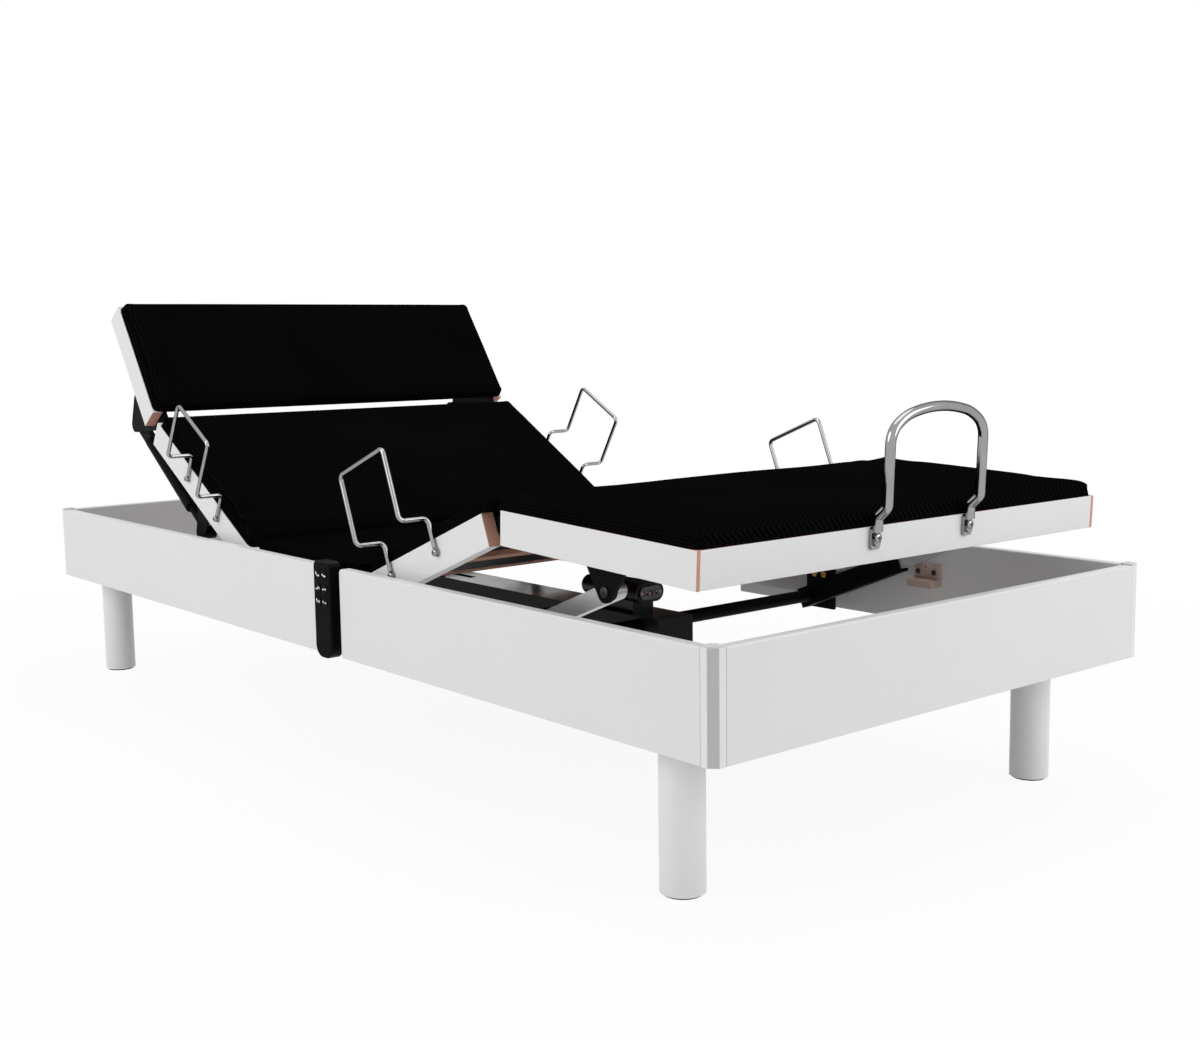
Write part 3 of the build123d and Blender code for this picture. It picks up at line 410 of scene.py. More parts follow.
def section_places():
    """Frames of the sections: local X along the section from its pivot, local Z square to it."""
    joints = {joint["name"]: joint for joint in frame["joints"]}
    flat = {name: -joint["range_deg"][0] for name, joint in joints.items() if "range_deg" in joint}
    ratios = {row["joint"]: row["ratio"] for row in frame["record"]["behaviour"]["couplings"]}
    hinged = [name for name, joint in joints.items() if "pos_m" in joint]
    pivot = {name: Matrix.Translation(joints[name]["pos_m"]) for name in hinged}
    back = spin(flat["back_tilt"], "Y") @ spin(180, "Z")
    thigh = spin(-flat["thigh_lift"], "Y")
    knee = spin(-ratios["knee_fold"] * flat["thigh_lift"], "Y")
    seat_height = joints["back_tilt"]["pos_m"][2]
    return {
        "seat": Matrix.Translation((0, 0, seat_height)),
        "back": pivot["back_tilt"] @ back,
        "neck": pivot["neck_tilt"] @ back @ spin(-flat["neck_tilt"], "Y"),
        "thigh": pivot["thigh_lift"] @ thigh,
        "calf": pivot["knee_fold"] @ thigh @ knee,
    }


PLACES = section_places()


def paint(node, *finishes, place=None, pick=None):
    """Give a CAD node its finishes; pick turns a face's centre and normal into a finish number."""
    body = frame["nodes"][node]
    body.data.materials.clear()
    for finish in finishes:
        body.data.materials.append(finish)
    inverse = (place or Matrix.Identity(4)).inverted()
    turn = inverse.to_3x3()
    for face in body.data.polygons:
        face.material_index = pick(inverse @ face.center, turn @ face.normal) if pick else 0


def extent(node, place):
    """Lowest and highest corner of a CAD node in a section's own frame."""
    inverse = place.inverted()
    points = [inverse @ vertex.co for vertex in frame["nodes"][node].data.vertices]
    low = Vector([min(point[axis] for point in points) for axis in range(3)])
    high = Vector([max(point[axis] for point in points) for axis in range(3)])
    return low, high


def into_scene(name, mesh, finishes, body, place=None):
    """A new piece that rides on a body."""
    piece = bpy.data.objects.new(name, mesh)
    bpy.context.scene.collection.objects.link(piece)
    for finish in finishes:
        mesh.materials.append(finish)
    if place is not None:
        piece.matrix_world = place
    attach(piece, body)


def mesh_from(name, build, smooth=True):
    """A mesh made by a function that fills a bmesh."""
    work = bmesh.new()
    build(work)
    bmesh.ops.recalc_face_normals(work, faces=work.faces)
    mesh = bpy.data.meshes.new(name)
    work.to_mesh(mesh)
    work.free()
    for face in mesh.polygons:
        face.use_smooth = smooth
    return mesh


def settings_of(context, name):
    """One settings group of the scene."""
    return getattr(context.scene, name)


# Pad cover

PAD_EDGE_STEPS = (0.0, 0.0012, 0.003, 0.0056, 0.009, 0.0135, 0.0195, 0.028, 0.038)
PAD_SIDE_LEVELS = (
    (0.72, 0.0004), (0.62, 0.0002), (0.5, 0.0001), (0.36, 0.0), (0.22, 0.0003), (0.08, 0.001),
    (0.0, 0.0015),
)
PAD_CORNER = 0.014
PAD_SHOULDER_WIDTH = 0.009
PAD_SHOULDER_LEVEL = 0.925
PAD_CROWN_WIDTH = 0.045
PAD_PIN_LEVEL = 0.12
PAD_FOLD_SLOPE = {"seat_pad": 0.014, "back_pad": 0.014}
PAD_FOLD_REACH = 0.06
PAD_CROWN_ROOM = 0.001
UNREST_WAVES = 9.0
UNREST_SLICE = 3.1
UNREST_START = 0.4


def pad_lines(low, high, spacing):
    """Places of the mesh lines across a pad, close together at its edges."""
    first = low + PAD_EDGE_STEPS[-1]
    last = high - PAD_EDGE_STEPS[-1]
    count = max(2, round((last - first) / spacing))
    middle = [first + (last - first) * step / count for step in range(1, count)]
    ends = [high - step for step in reversed(PAD_EDGE_STEPS)]
    return [low + step for step in PAD_EDGE_STEPS] + middle + ends


def rounded(x, y, low, high):
    """A point drawn into the pad's rounded corners: place, outward direction, distance in."""
    centre_x = min(max(x, low.x + PAD_CORNER), high.x - PAD_CORNER)
    centre_y = min(max(y, low.y + PAD_CORNER), high.y - PAD_CORNER)
    across = (x - centre_x) / PAD_CORNER
    up = (y - centre_y) / PAD_CORNER
    if across and up:
        spot = Vector((across, up))
        spot.x *= math.sqrt(1 - up * up / 2)
        spot.y *= math.sqrt(1 - across * across / 2)
        place = Vector((centre_x, centre_y)) + spot * PAD_CORNER
        return place, spot.normalized(), PAD_CORNER * (1 - spot.length)
    sides = (
        (x - low.x, Vector((-1, 0))), (high.x - x, Vector((1, 0))),
        (y - low.y, Vector((0, -1))), (high.y - y, Vector((0, 1))),
    )
    inward, outward = min(sides, key=lambda side: side[0])
    return Vector((x, y)), outward, inward


def pad_height(inward, thickness):
    """Height of the cover over its foot, from the distance in from its edge."""
    edge = PAD_SIDE_LEVELS[0][0] * thickness
    shoulder = PAD_SHOULDER_LEVEL * thickness
    if inward < PAD_SHOULDER_WIDTH:
        rest = 1 - inward / PAD_SHOULDER_WIDTH
        return edge + (shoulder - edge) * math.sqrt(max(0.0, 1 - rest * rest))
    rest = max(0.0, 1 - (inward - PAD_SHOULDER_WIDTH) / (PAD_CROWN_WIDTH - PAD_SHOULDER_WIDTH))
    return shoulder + (thickness - shoulder) * (1 - rest * rest)


def pad_mesh(name, low, high, slope, settings):
    """The cover of one pad, as a closed mesh a little below its finished crown."""
    thickness = high.z - low.z - settings.start

    def lean(place, height):
        reach = max(0.0, 1 - (place.x - low.x) / PAD_FOLD_REACH)
        return Vector((place.x + slope * height / thickness * reach, place.y, low.z + height))

    def build(work):
        columns = pad_lines(low.x, high.x, settings.spacing)
        rows = pad_lines(low.y, high.y, settings.spacing)
        top = {}
        for i, x in enumerate(columns):
            for j, y in enumerate(rows):
                place, _, inward = rounded(x, y, low, high)
                top[i, j] = work.verts.new(lean(place, pad_height(max(inward, 0.0), thickness)))
        for i in range(len(columns) - 1):
            for j in range(len(rows) - 1):
                work.faces.new((top[i, j], top[i + 1, j], top[i + 1, j + 1], top[i, j + 1]))
        last_i, last_j = len(columns) - 1, len(rows) - 1
        border = [(i, 0) for i in range(last_i)] + [(last_i, j) for j in range(last_j)]
        border += [(i, last_j) for i in range(last_i, 0, -1)]
        border += [(0, j) for j in range(last_j, 0, -1)]
        upper = [top[spot] for spot in border]
        for level, inset in PAD_SIDE_LEVELS[1:]:
            lower = []
            for i, j in border:
                place, outward, _ = rounded(columns[i], rows[j], low, high)
                lower.append(work.verts.new(lean(place - outward * inset, level * thickness)))
            for k in range(len(upper)):
                after = (k + 1) % len(upper)
                work.faces.new((upper[k], lower[k], lower[after], upper[after]))
            upper = lower
        foot = dict(zip(border, upper))
        for i in range(1, last_i):
            for j in range(1, last_j):
                place, _, _ = rounded(columns[i], rows[j], low, high)
                foot[i, j] = work.verts.new(lean(place, 0.0))
        for i in range(last_i):
            for j in range(last_j):
                work.faces.new((foot[i, j], foot[i, j + 1], foot[i + 1, j + 1], foot[i + 1, j]))

    return mesh_from(name, build)


def swell(piece, settings, low):
    """Fill the cover with Blender's cloth pressure, cap the movement and keep the result."""
    start = [vertex.co.copy() for vertex in piece.data.vertices]
    pinned = piece.vertex_groups.new(name="foot")
    foot = low.z + PAD_PIN_LEVEL * piece.dimensions.z
    pinned.add([i for i, place in enumerate(start) if place.z <= foot], 1.0, "REPLACE")
    cloth = piece.modifiers.new("fill", "CLOTH")
    fabric = cloth.settings
    fabric.quality = 6
    fabric.mass = 0.35
    fabric.tension_stiffness = 30.0
    fabric.compression_stiffness = 30.0
    fabric.shear_stiffness = 12.0
    fabric.bending_stiffness = 2.0
    fabric.vertex_group_mass = pinned.name
    fabric.use_pressure = True
    fabric.uniform_pressure_force = settings.pressure
    fabric.effector_weights.gravity = 0.0
    cloth.collision_settings.use_collision = False
    cloth.point_cache.frame_start = 1
    cloth.point_cache.frame_end = settings.frames
    scene = bpy.context.scene
    for step in range(1, settings.frames + 1):
        scene.frame_set(step)
    filled = piece.evaluated_get(bpy.context.evaluated_depsgraph_get())
    ends = [vertex.co.copy() for vertex in filled.data.vertices]
    piece.modifiers.remove(cloth)
    piece.vertex_groups.clear()
    scene.frame_set(1)
    for vertex, before, after in zip(piece.data.vertices, start, ends):
        move = after - before
        if move.length > settings.swell:
            move *= settings.swell / move.length
        vertex.co = before + move


def unsettle(piece, settings, low, high):
    """Slow unevenness of the cover, none at its foot."""
    for vertex in piece.data.vertices:
        share_up = (vertex.co.z - low.z) / (high.z - low.z)
        spot = Vector((vertex.co.x * UNREST_WAVES, vertex.co.y * UNREST_WAVES, UNREST_SLICE))
        wave = noise.noise(spot)
        vertex.co.z += settings.unrest * wave * max(0.0, share_up - UNREST_START)


def keep_inside(piece, low, high):
    """Hold the cover inside the room that its solid has, plus a hair for the crown."""
    for vertex in piece.data.vertices:
        vertex.co.x = min(max(vertex.co.x, low.x), high.x)
        vertex.co.y = min(max(vertex.co.y, low.y), high.y)
        vertex.co.z = min(max(vertex.co.z, low.z), high.z + PAD_CROWN_ROOM)


# Sizes of the solids that finishes and screws go by, in metres

HAIR = 0.0001
FACE_PLAY = 0.0004
BASE_RAIL_WIDTH = 0.028
BEARING_THICKNESS = 0.006
RAIL_THICKNESS = 0.02
DECK_THICKNESS = 0.012
STRAP_STACK = 0.0083
ARM_WIDTH = 0.022
REST_WIDTH = 0.05
REST_SCREW_SPACING = 0.033
REST_SCREW_DEPTH = 0.0095
REST_SCREW_DROP = 0.012
LUG_BOLT_INSET = 0.047
LUG_BOLT_RISE = 0.015
BOLT_HEAD_RADIUS = 0.005
ARCH_HALF_SPAN = 0.098
ARCH_TAB_FRONT = 0.0084
ARCH_BOLT_RISE = 0.0158

# A face looks along an axis when that part of its normal is longer than this

FACING = 0.9

# Screw heads: radius and height in metres, then shares of the radius and of the height

SCREW_HEADS = {
    "rest": (0.0046, 0.0024),
    "lug": (0.0075, 0.003),
    "retainer": (0.0051, 0.0022),
    "arch": (0.0062, 0.0026),
    "panel": (0.0022, 0.0009),
}
SCREW_SIDES = 24
SCREW_PROFILE = ((1.0, 0.0), (1.0, 0.3), (0.93, 0.55), (0.75, 0.8), (0.45, 0.95), (0.2, 1.0))
RECESS_LENGTH = 1.1
RECESS_WIDTH = 0.24
RECESS_LEVEL = 0.9
RECESS_DEPTH = 0.24


def ring(work, centre, radius, axis_u, axis_v):
    """A ring of vertices."""
    turns = [2 * math.pi / SCREW_SIDES * k for k in range(SCREW_SIDES)]
    spots = [(radius * math.cos(turn), radius * math.sin(turn)) for turn in turns]
    return [work.verts.new(centre + axis_u * u + axis_v * v) for u, v in spots]


def bridge(work, first, second):
    """Faces between two rings."""
    for k in range(len(first)):
        after = (k + 1) % len(first)
        work.faces.new((first[k], first[after], second[after], second[k]))


def finish_faces(corners, index):
    """Give all faces on some vertices a finish number."""
    for vertex in corners:
        for face in vertex.link_faces:
            face.material_index = index


def domed_screw(work, place, out, radius, height):
    """A domed screw head with a cross recess drawn as a box in finish number 1, painted near black as shade in the
    recess.
    """
    side = Vector((0, 0, 1)) if abs(out.z) < FACING else Vector((1, 0, 0))
    axis_u = out.cross(side).normalized()
    axis_v = out.cross(axis_u).normalized()
    rings = []
    for wide, up in SCREW_PROFILE:
        centre = place + out * (height * up)
        rings.append(ring(work, centre, radius * wide, axis_u, axis_v))
    for lower, upper in zip(rings, rings[1:]):
        bridge(work, lower, upper)
    work.faces.new(rings[-1])
    work.faces.new(list(reversed(rings[0])))
    # The cross recess is a box poking through the dome in finish number 1: painted shade where the hollow would be
    for long_axis, short_axis in ((axis_u, axis_v), (axis_v, axis_u)):
        corners = bmesh.ops.create_cube(work, size=1.0)["verts"]
        for vertex in corners:
            spot = vertex.co
            reach = long_axis * (spot.x * radius * RECESS_LENGTH)
            reach += short_axis * (spot.y * radius * RECESS_WIDTH)
            vertex.co = place + reach + out * (height * (RECESS_LEVEL + RECESS_DEPTH * spot.z))
        finish_faces(corners, 1)


def screw_set(name, screws, kind, finishes, body, place=None):
    """A group of like screws in a section's own frame, each given as a place and a direction."""

    def build(work):
        for spot, out in screws:
            domed_screw(work, Vector(spot), Vector(out), *SCREW_HEADS[kind])

    into_scene(name, mesh_from(name, build), finishes, body, place)


class BEDBASE_OT_surround(bpy.types.Operator):
    """Finish the panels, corner posts, legs and glides"""

    bl_idname = "bed_base.surround"
    bl_label = "Surround and legs"

    def execute(self, context):
        own = settings_of(context, "bed_surround")
        metal = settings_of(context, "bed_metal")
        panel = lacquer("panel_lacquer", own.panel, own.gloss)
        for node in ("head_panel", "foot_panel", "side_panels"):
            paint(node, panel)
        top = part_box("side_panels")[1].z - FACE_PLAY
        post = lacquer("post_white", own.post, own.gloss + 0.06)
        cap = moulded("cap_plastic", own.cap, 0.5)
        paint("corner_posts", post, cap, pick=lambda centre, normal: int(centre.z > top))
        paint("corner_facets", bare_facet(own.facet))
        paint("legs", lacquer("leg_coat", own.leg, own.gloss + 0.04))
        paint("leg_glides", moulded("glide_rubber", own.glide, 0.7))
        paint("leg_plates", bare_metal("plate_zinc", metal.zinc, 0.4))
        return {"FINISHED"}


class BEDBASE_OT_steel_base(bpy.types.Operator):
    """Finish the steel rails, cross tube, bearings and rest blocks"""

    bl_idname = "bed_base.steel_base"
    bl_label = "Steel base"

    def execute(self, context):
        metal = settings_of(context, "bed_metal")
        drive = settings_of(context, "bed_drive")
        coat = powder_coat("black_coat", metal.black)
        brass = bare_metal("brass", metal.brass, 0.25)
        outer = abs(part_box("base_frame")[0].y)
        inner = outer - BASE_RAIL_WIDTH - BEARING_THICKNESS - FACE_PLAY
        white = powder_coat("white_coat", settings_of(context, "bed_surround").panel)
        paint("base_frame", white, coat, pick=lambda centre, normal: int(abs(centre.y) < inner))
        paint("tube_bearings", coat, brass, pick=lambda centre, normal: int(abs(centre.y) < inner))
        rest = moulded("rest_plastic", drive.rest, 0.5, grain=700.0, relief=0.06)
        paint("rest_blocks", rest)
        self.rest_screws(metal)
        return {"FINISHED"}

    def rest_screws(self, metal):
        """Dark screws in the holes of the rest blocks."""
        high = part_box("rest_blocks")[1]
        screws = []
        for end in (-1, 1):
            for side in (-1, 1):
                for step in (-1, 1):
                    x = end * (high.x - REST_WIDTH / 2 + step * REST_SCREW_SPACING / 2)
                    y = side * (high.y - REST_SCREW_DEPTH)
                    screws.append(((x, y, high.z - REST_SCREW_DROP), (0, -side, 0)))
        dark = bare_metal("screw_blacked", darker(metal.zinc, 0.1), 0.4)
        # Painted shade for the driver recesses of the screws
        recess_shade = moulded("rest_recess_shade", metal.recess_shade, 0.5)
        screw_set("rest_screws", screws, "rest", (dark, recess_shade), "base")


class BEDBASE_OT_boards(bpy.types.Operator):
    """Finish the rails, decks and battens of the sections"""

    bl_idname = "bed_base.boards"
    bl_label = "Section boards"

    def execute(self, context):
        own = settings_of(context, "bed_section")
        laminate = lacquer("rail_laminate", own.laminate, 0.36)
        core = cut_board("raw_core", own.core, own.core_dark, (420.0, 420.0, 900.0))
        batten = cut_board("batten_timber", own.batten, own.batten_dark, (500.0, 60.0, 500.0))
        deck = moulded("deck_black", own.deck, 0.6, grain=300.0, level=0.05)
        rail_inner = abs(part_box("seat_rails")[0].y) - RAIL_THICKNESS
        for section, place in PLACES.items():
            node = section + "_rails"
            top = extent(node, place)[1].z - FACE_PLAY
            bare_top = section in ("thigh", "calf")

            def rail_face(centre, normal, top=top, bare_top=bare_top):
                cut_end = abs(normal.x) > FACING and abs(centre.y) > rail_inner
                cut_top = bare_top and normal.z > FACING and centre.z > top
                return int(cut_end or cut_top)

            paint(node, laminate, core, place=place, pick=rail_face)
            low = extent(section + "_deck", place)[1].z - DECK_THICKNESS - FACE_PLAY
            paint(
                section + "_deck", deck, batten, place=place,
                pick=lambda centre, normal, low=low: int(centre.z < low),
            )
            if section in ("back", "thigh", "calf"):
                paint(section + "_battens", batten)
        return {"FINISHED"}


class BEDBASE_OT_pads(bpy.types.Operator):
    """Fill the mesh pads and lay them on their sections"""

    bl_idname = "bed_base.pads"
    bl_label = "Mesh pads"

    def execute(self, context):
        own = settings_of(context, "bed_pad")
        cloth = spacer_mesh(own)
        for section, place in PLACES.items():
            node = section + "_pad"
            low, high = extent(node, place)
            mesh = pad_mesh(section + "_cover", low, high, PAD_FOLD_SLOPE.get(node, 0.0), own)
            piece = bpy.data.objects.new(section + "_cover", mesh)
            context.scene.collection.objects.link(piece)
            context.view_layer.update()
            swell(piece, own, low)
            unsettle(piece, own, low, high)
            keep_inside(piece, low, high)
            mesh.materials.append(cloth)
            piece.matrix_world = place
            fine = piece.modifiers.new("fine", "SUBSURF")
            fine.levels = 1
            fine.render_levels = 1
            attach(piece, "base" if section == "seat" else section)
            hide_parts(node)
        return {"FINISHED"}


class BEDBASE_OT_hinges(bpy.types.Operator):
    """Finish the hinge straps, lugs, stays and the back lever"""

    bl_idname = "bed_base.hinges"
    bl_label = "Hinges and stays"

    def execute(self, context):
        metal = settings_of(context, "bed_metal")
        coat = powder_coat("strap_coat", metal.black, 0.46)
        zinc = bare_metal("pin_zinc", metal.zinc, 0.3, (700.0, 40.0, 700.0))
        heads = abs(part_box("seat_rails")[0].y) - RAIL_THICKNESS - STRAP_STACK
        for node in ("seat_hinges", "back_brackets", "thigh_hinges", "neck_lugs"):
            paint(node, coat, zinc, pick=lambda centre, normal: int(abs(centre.y) < heads))
        pin = abs(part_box("arm_tubes")[1].y) + 2 * HAIR
        paint("calf_brackets", coat, zinc, pick=lambda centre, normal: int(abs(centre.y) < pin))
        for node in ("back_lever", "stay_tubes", "stay_rods"):
            paint(node, coat)
        place = PLACES["calf"]
        low, high = extent("calf_brackets", place)
        x = high.x - LUG_BOLT_INSET
        z = low.z + LUG_BOLT_RISE
        screws = [((x, side * high.y, z), (0, side, 0)) for side in (-1, 1)]
        dark = bare_metal("bolt_blacked", darker(metal.zinc, 0.1), 0.4)
        # Painted shade for the driver recesses of the bolts
        recess_shade = moulded("bolt_recess_shade", metal.recess_shade, 0.5)
        screw_set("lug_bolts", screws, "lug", (dark, recess_shade), "calf", place)
        return {"FINISHED"}


class BEDBASE_OT_retainers(bpy.types.Operator):
    """Finish the wire retainers and the foot arch, and set their screws"""

    bl_idname = "bed_base.retainers"
    bl_label = "Retainers and arch"

    def execute(self, context):
        metal = settings_of(context, "bed_metal")
        brush = (35.0, 35.0, 35.0)
        # The chrome's dark rim tint is a painted reflection of dark surroundings
        chrome = bare_metal("chrome", metal.chrome, 0.09, brush, relief=0.01, rim_shade=metal.chrome_rim_shade)
        # Painted shade for the driver recesses of the screws
        recess_shade = moulded("screw_recess_shade", metal.recess_shade, 0.5)
        paint("foot_arch", chrome)
        for section in ("back", "thigh"):
            place = PLACES[section]
            bolts = section + "_retainer_bolts"
            paint(section + "_retainers", chrome)
            paint(bolts, chrome)
            low, high = extent(bolts, place)
            screws = []
            for x in (low.x + BOLT_HEAD_RADIUS, high.x - BOLT_HEAD_RADIUS):
                for side in (-1, 1):
                    spot = (x, side * (high.y - HAIR), (low.z + high.z) / 2)
                    screws.append((spot, (0, side, 0)))
            name = section + "_retainer_screws"
            screw_set(name, screws, "retainer", (chrome, recess_shade), section, place)
        place = PLACES["calf"]
        front = extent("calf_rails", place)[1].x + ARCH_TAB_FRONT
        height = extent("foot_arch", place)[0].z + ARCH_BOLT_RISE
        screws = [((front, side * ARCH_HALF_SPAN, height), (1, 0, 0)) for side in (-1, 1)]
        screw_set("arch_screws", screws, "arch", (chrome, recess_shade), "calf", place)
        return {"FINISHED"}


class BEDBASE_OT_leg_lift(bpy.types.Operator):
    """Finish the torsion tube and the leg arms"""

    bl_idname = "bed_base.leg_lift"
    bl_label = "Leg lift"

    def execute(self, context):
        metal = settings_of(context, "bed_metal")
        coat = powder_coat("arm_coat", metal.black, 0.5)
        zinc = bare_metal("arm_zinc", metal.zinc, 0.38, (30.0, 400.0, 400.0))
        for node in ("torsion_tube", "arm_tubes"):
            paint(node, coat)
        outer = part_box("arm_tubes")[1].y + HAIR
        inner = outer - ARM_WIDTH - 2 * HAIR
        paint(
            "arm_bars", zinc, coat,
            pick=lambda centre, normal: int(not inner < abs(centre.y) < outer),
        )
        return {"FINISHED"}


# Ribs of the control box (profile: distance back and height) and its coding inserts, in metres

RIB_COUNT = 6
RIB_START = 0.006
RIB_PITCH = 0.0055
RIB_PROFILE = ((0.0, -0.0004), (0.0003, 0.0012), (0.0019, 0.0012), (0.0022, -0.0004))
RIB_ARC_STEPS = 12
KEY_PLACES = (-0.011, 0.0, 0.011)
KEY_SINK = 0.0012
KEY_ASIDE = 0.0017
KEY_RISE = 0.0012
KEY_SIZE = (0.0018, 0.0022, 0.003)
PANEL_SCREW_REACH = 0.0195


class BEDBASE_OT_drive(bpy.types.Operator):
    """Finish the drive casing, motors, pushers and control box"""

    bl_idname = "bed_base.drive"
    bl_label = "Central drive"

    def execute(self, context):
        own = settings_of(context, "bed_drive")
        casing = moulded("drive_casing", own.casing, 0.5, grain=900.0, relief=0.14, level=0.12)
        paint("drive_lower_shell", casing)
        cover = moulded("drive_cover", own.cover, 0.14, grain=500.0, relief=0.02, level=0.5)
        paint("drive_top_cover", cover, casing, pick=lambda centre, normal: int(normal.z < FACING))
        can = bare_metal("motor_can", own.can, 0.4)
        paint("drive_motors", can)
        for node in ("back_pusher", "leg_pusher"):
            paint(node, casing)
        box = moulded("control_black", own.casing, 0.34, grain=900.0, level=0.2)
        paint("control_box", box)
        panel = moulded("socket_grey", own.socket, 0.5)
        low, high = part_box("control_sockets")
        front = high.x - FACE_PLAY
        paint("control_sockets", panel, casing, pick=lambda centre, normal: int(centre.x < front))
        self.ribs(own)
        self.keys(own, low, high)
        return {"FINISHED"}

    def ribs(self, own):
        """Moulded cooling ribs round the foot end of the control box."""
        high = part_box("control_box")[1]
        panel_low, panel_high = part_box("control_sockets")
        middle = (panel_low.z + panel_high.z) / 2
        radius = high.z - middle
        straight = high.y - radius

        def outline(work, x, grow):
            points = []
            for side in (1, -1):
                for step in range(RIB_ARC_STEPS + 1):
                    turn = math.pi * (step / RIB_ARC_STEPS - 0.5)
                    y = side * (straight + (radius + grow) * math.cos(turn))
                    z = middle + side * (radius + grow) * math.sin(turn)
                    points.append(work.verts.new((x, y, z)))
            return points

        def build(work):
            for rib in range(RIB_COUNT):
                x = high.x - RIB_START - rib * RIB_PITCH
                loops = [outline(work, x - back, grow) for back, grow in RIB_PROFILE]
                for first, second in zip(loops, loops[1:]):
                    bridge(work, first, second)
                work.faces.new(loops[0])
                work.faces.new(loops[-1])

        finish = moulded("rib_black", own.casing, 0.34, grain=900.0, level=0.2)
        mesh = mesh_from("control_ribs", build, False)
        into_scene("control_ribs", mesh, (finish,), "base")

    def keys(self, own, low, high):
        """Coding inserts in the sockets, and the two screws of their panel."""
        middle = (low.z + high.z) / 2
        red = moulded("key_red", own.key_red, 0.35)
        pale = moulded("key_pale", own.key_pale, 0.4)

        def build(work):
            for column, y in enumerate(KEY_PLACES):
                for side in (-1, 1):
                    spot = (high.x - KEY_SINK, y + side * KEY_ASIDE, middle + side * KEY_RISE)
                    corners = bmesh.ops.create_cube(work, size=1.0)["verts"]
                    for vertex in corners:
                        vertex.co = Vector(spot) + vertex.co * Vector(KEY_SIZE)
                    finish_faces(corners, (column + (side > 0)) % 2)
            for side in (-1, 1):
                before = set(work.faces)
                centre = Vector((high.x, side * PANEL_SCREW_REACH, middle))
                domed_screw(work, centre, Vector((1, 0, 0)), *SCREW_HEADS["panel"])
                for face in set(work.faces) - before:
                    face.material_index = 1

        mesh = mesh_from("socket_keys", build, False)
        into_scene("socket_keys", mesh, (red, pale), "base")


# Key marks: the bent lying surface as a line, in parts of the key's radius

MARK_LINES = {
    "back": ((-0.6, 0.4), (-0.15, -0.2), (0.6, -0.2)),
    "legs": ((-0.6, -0.2), (-0.1, -0.2), (0.22, 0.3), (0.6, -0.05)),
    "both": ((-0.6, 0.4), (-0.26, -0.2), (0.04, -0.2), (0.3, 0.28), (0.6, -0.05)),
}
MARK_RISE = {"up": 1.0, "down": 0.45}
MARK_LIFT = 0.00012
STROKE_END_STEPS = 6


def stroke(work, start, end, width, seat):
    """A flat printed stroke with round ends, from start to end on a key."""
    heading = math.atan2(end.y - start.y, end.x - start.x)
    points = []
    for centre, turn in ((end, 0.0), (start, math.pi)):
        for step in range(STROKE_END_STEPS + 1):
            way = heading + turn + math.pi * (step / STROKE_END_STEPS - 0.5)
            points.append(centre + Vector((math.cos(way), math.sin(way))) * (width / 2))
    lower = [work.verts.new((seat.x + p.x, seat.y + MARK_LIFT, seat.z + p.y)) for p in points]
    upper = [work.verts.new((seat.x + p.x, seat.y - MARK_LIFT, seat.z + p.y)) for p in points]
    bridge(work, lower, upper)
    work.faces.new(upper)
    work.faces.new(list(reversed(lower)))


class BEDBASE_OT_handset(bpy.types.Operator):
    """Finish the handset and print the marks on its keys"""

    bl_idname = "bed_base.handset"
    bl_label = "Handset"

    def execute(self, context):
        own = settings_of(context, "bed_handset")
        case = moulded("handset_case", own.case, 0.4, grain=1200.0, relief=0.08, level=0.06)
        face = moulded("handset_face", own.face, 0.7, grain=520.0, relief=0.4, level=0.04)
        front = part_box("handset_case")[0].y + FACE_PLAY
        paint(
            "handset_case", case, face,
            pick=lambda centre, normal: int(centre.y < front and normal.y < -FACING),
        )
        paint("handset_cradle", case)
        key = moulded("key_rubber", own.key, 0.55, grain=900.0, relief=0.05, level=0.05)
        mark = moulded("key_print", own.mark, 0.5, grain=900.0, relief=0.02)
        for part in MARK_LINES:
            for action in ("up", "down"):
                node = f"button_{part}_{action}"
                paint(node, key)
                self.print_mark(node, part, action, own, mark)
        return {"FINISHED"}

    def print_mark(self, node, part, action, own, finish):
        """A bent line on one key, flatter where the key lowers."""
        low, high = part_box(node)
        radius = (high.x - low.x) / 2
        seat = Vector(((low.x + high.x) / 2, low.y, (low.z + high.z) / 2))
        rise = MARK_RISE[action]

        def build(work):
            points = [Vector((x * radius, y * radius * rise)) for x, y in MARK_LINES[part]]
            for start, end in zip(points, points[1:]):
                stroke(work, start, end, own.stroke, seat)

        name = node + "_mark"
        into_scene(name, mesh_from(name, build, False), (finish,), node)


# Stage

WHITE = (1, 1, 1, 1)
LAMP_AIM = (0.1, 0.0, 0.35)
FLOOR_REACH = 30.0


def seen_rays(tree):
    """Rays from the camera, from mirrors and through glass, as one amount."""
    path = tree.nodes.new("ShaderNodeLightPath").outputs
    seen = path["Is Camera Ray"]
    for ray in ("Is Glossy Ray", "Is Transmission Ray"):
        either = tree.nodes.new("ShaderNodeMath")
        either.operation = "MAXIMUM"
        tree.links.new(seen, either.inputs[0])
        tree.links.new(path[ray], either.inputs[1])
        seen = either.outputs[0]
    return seen


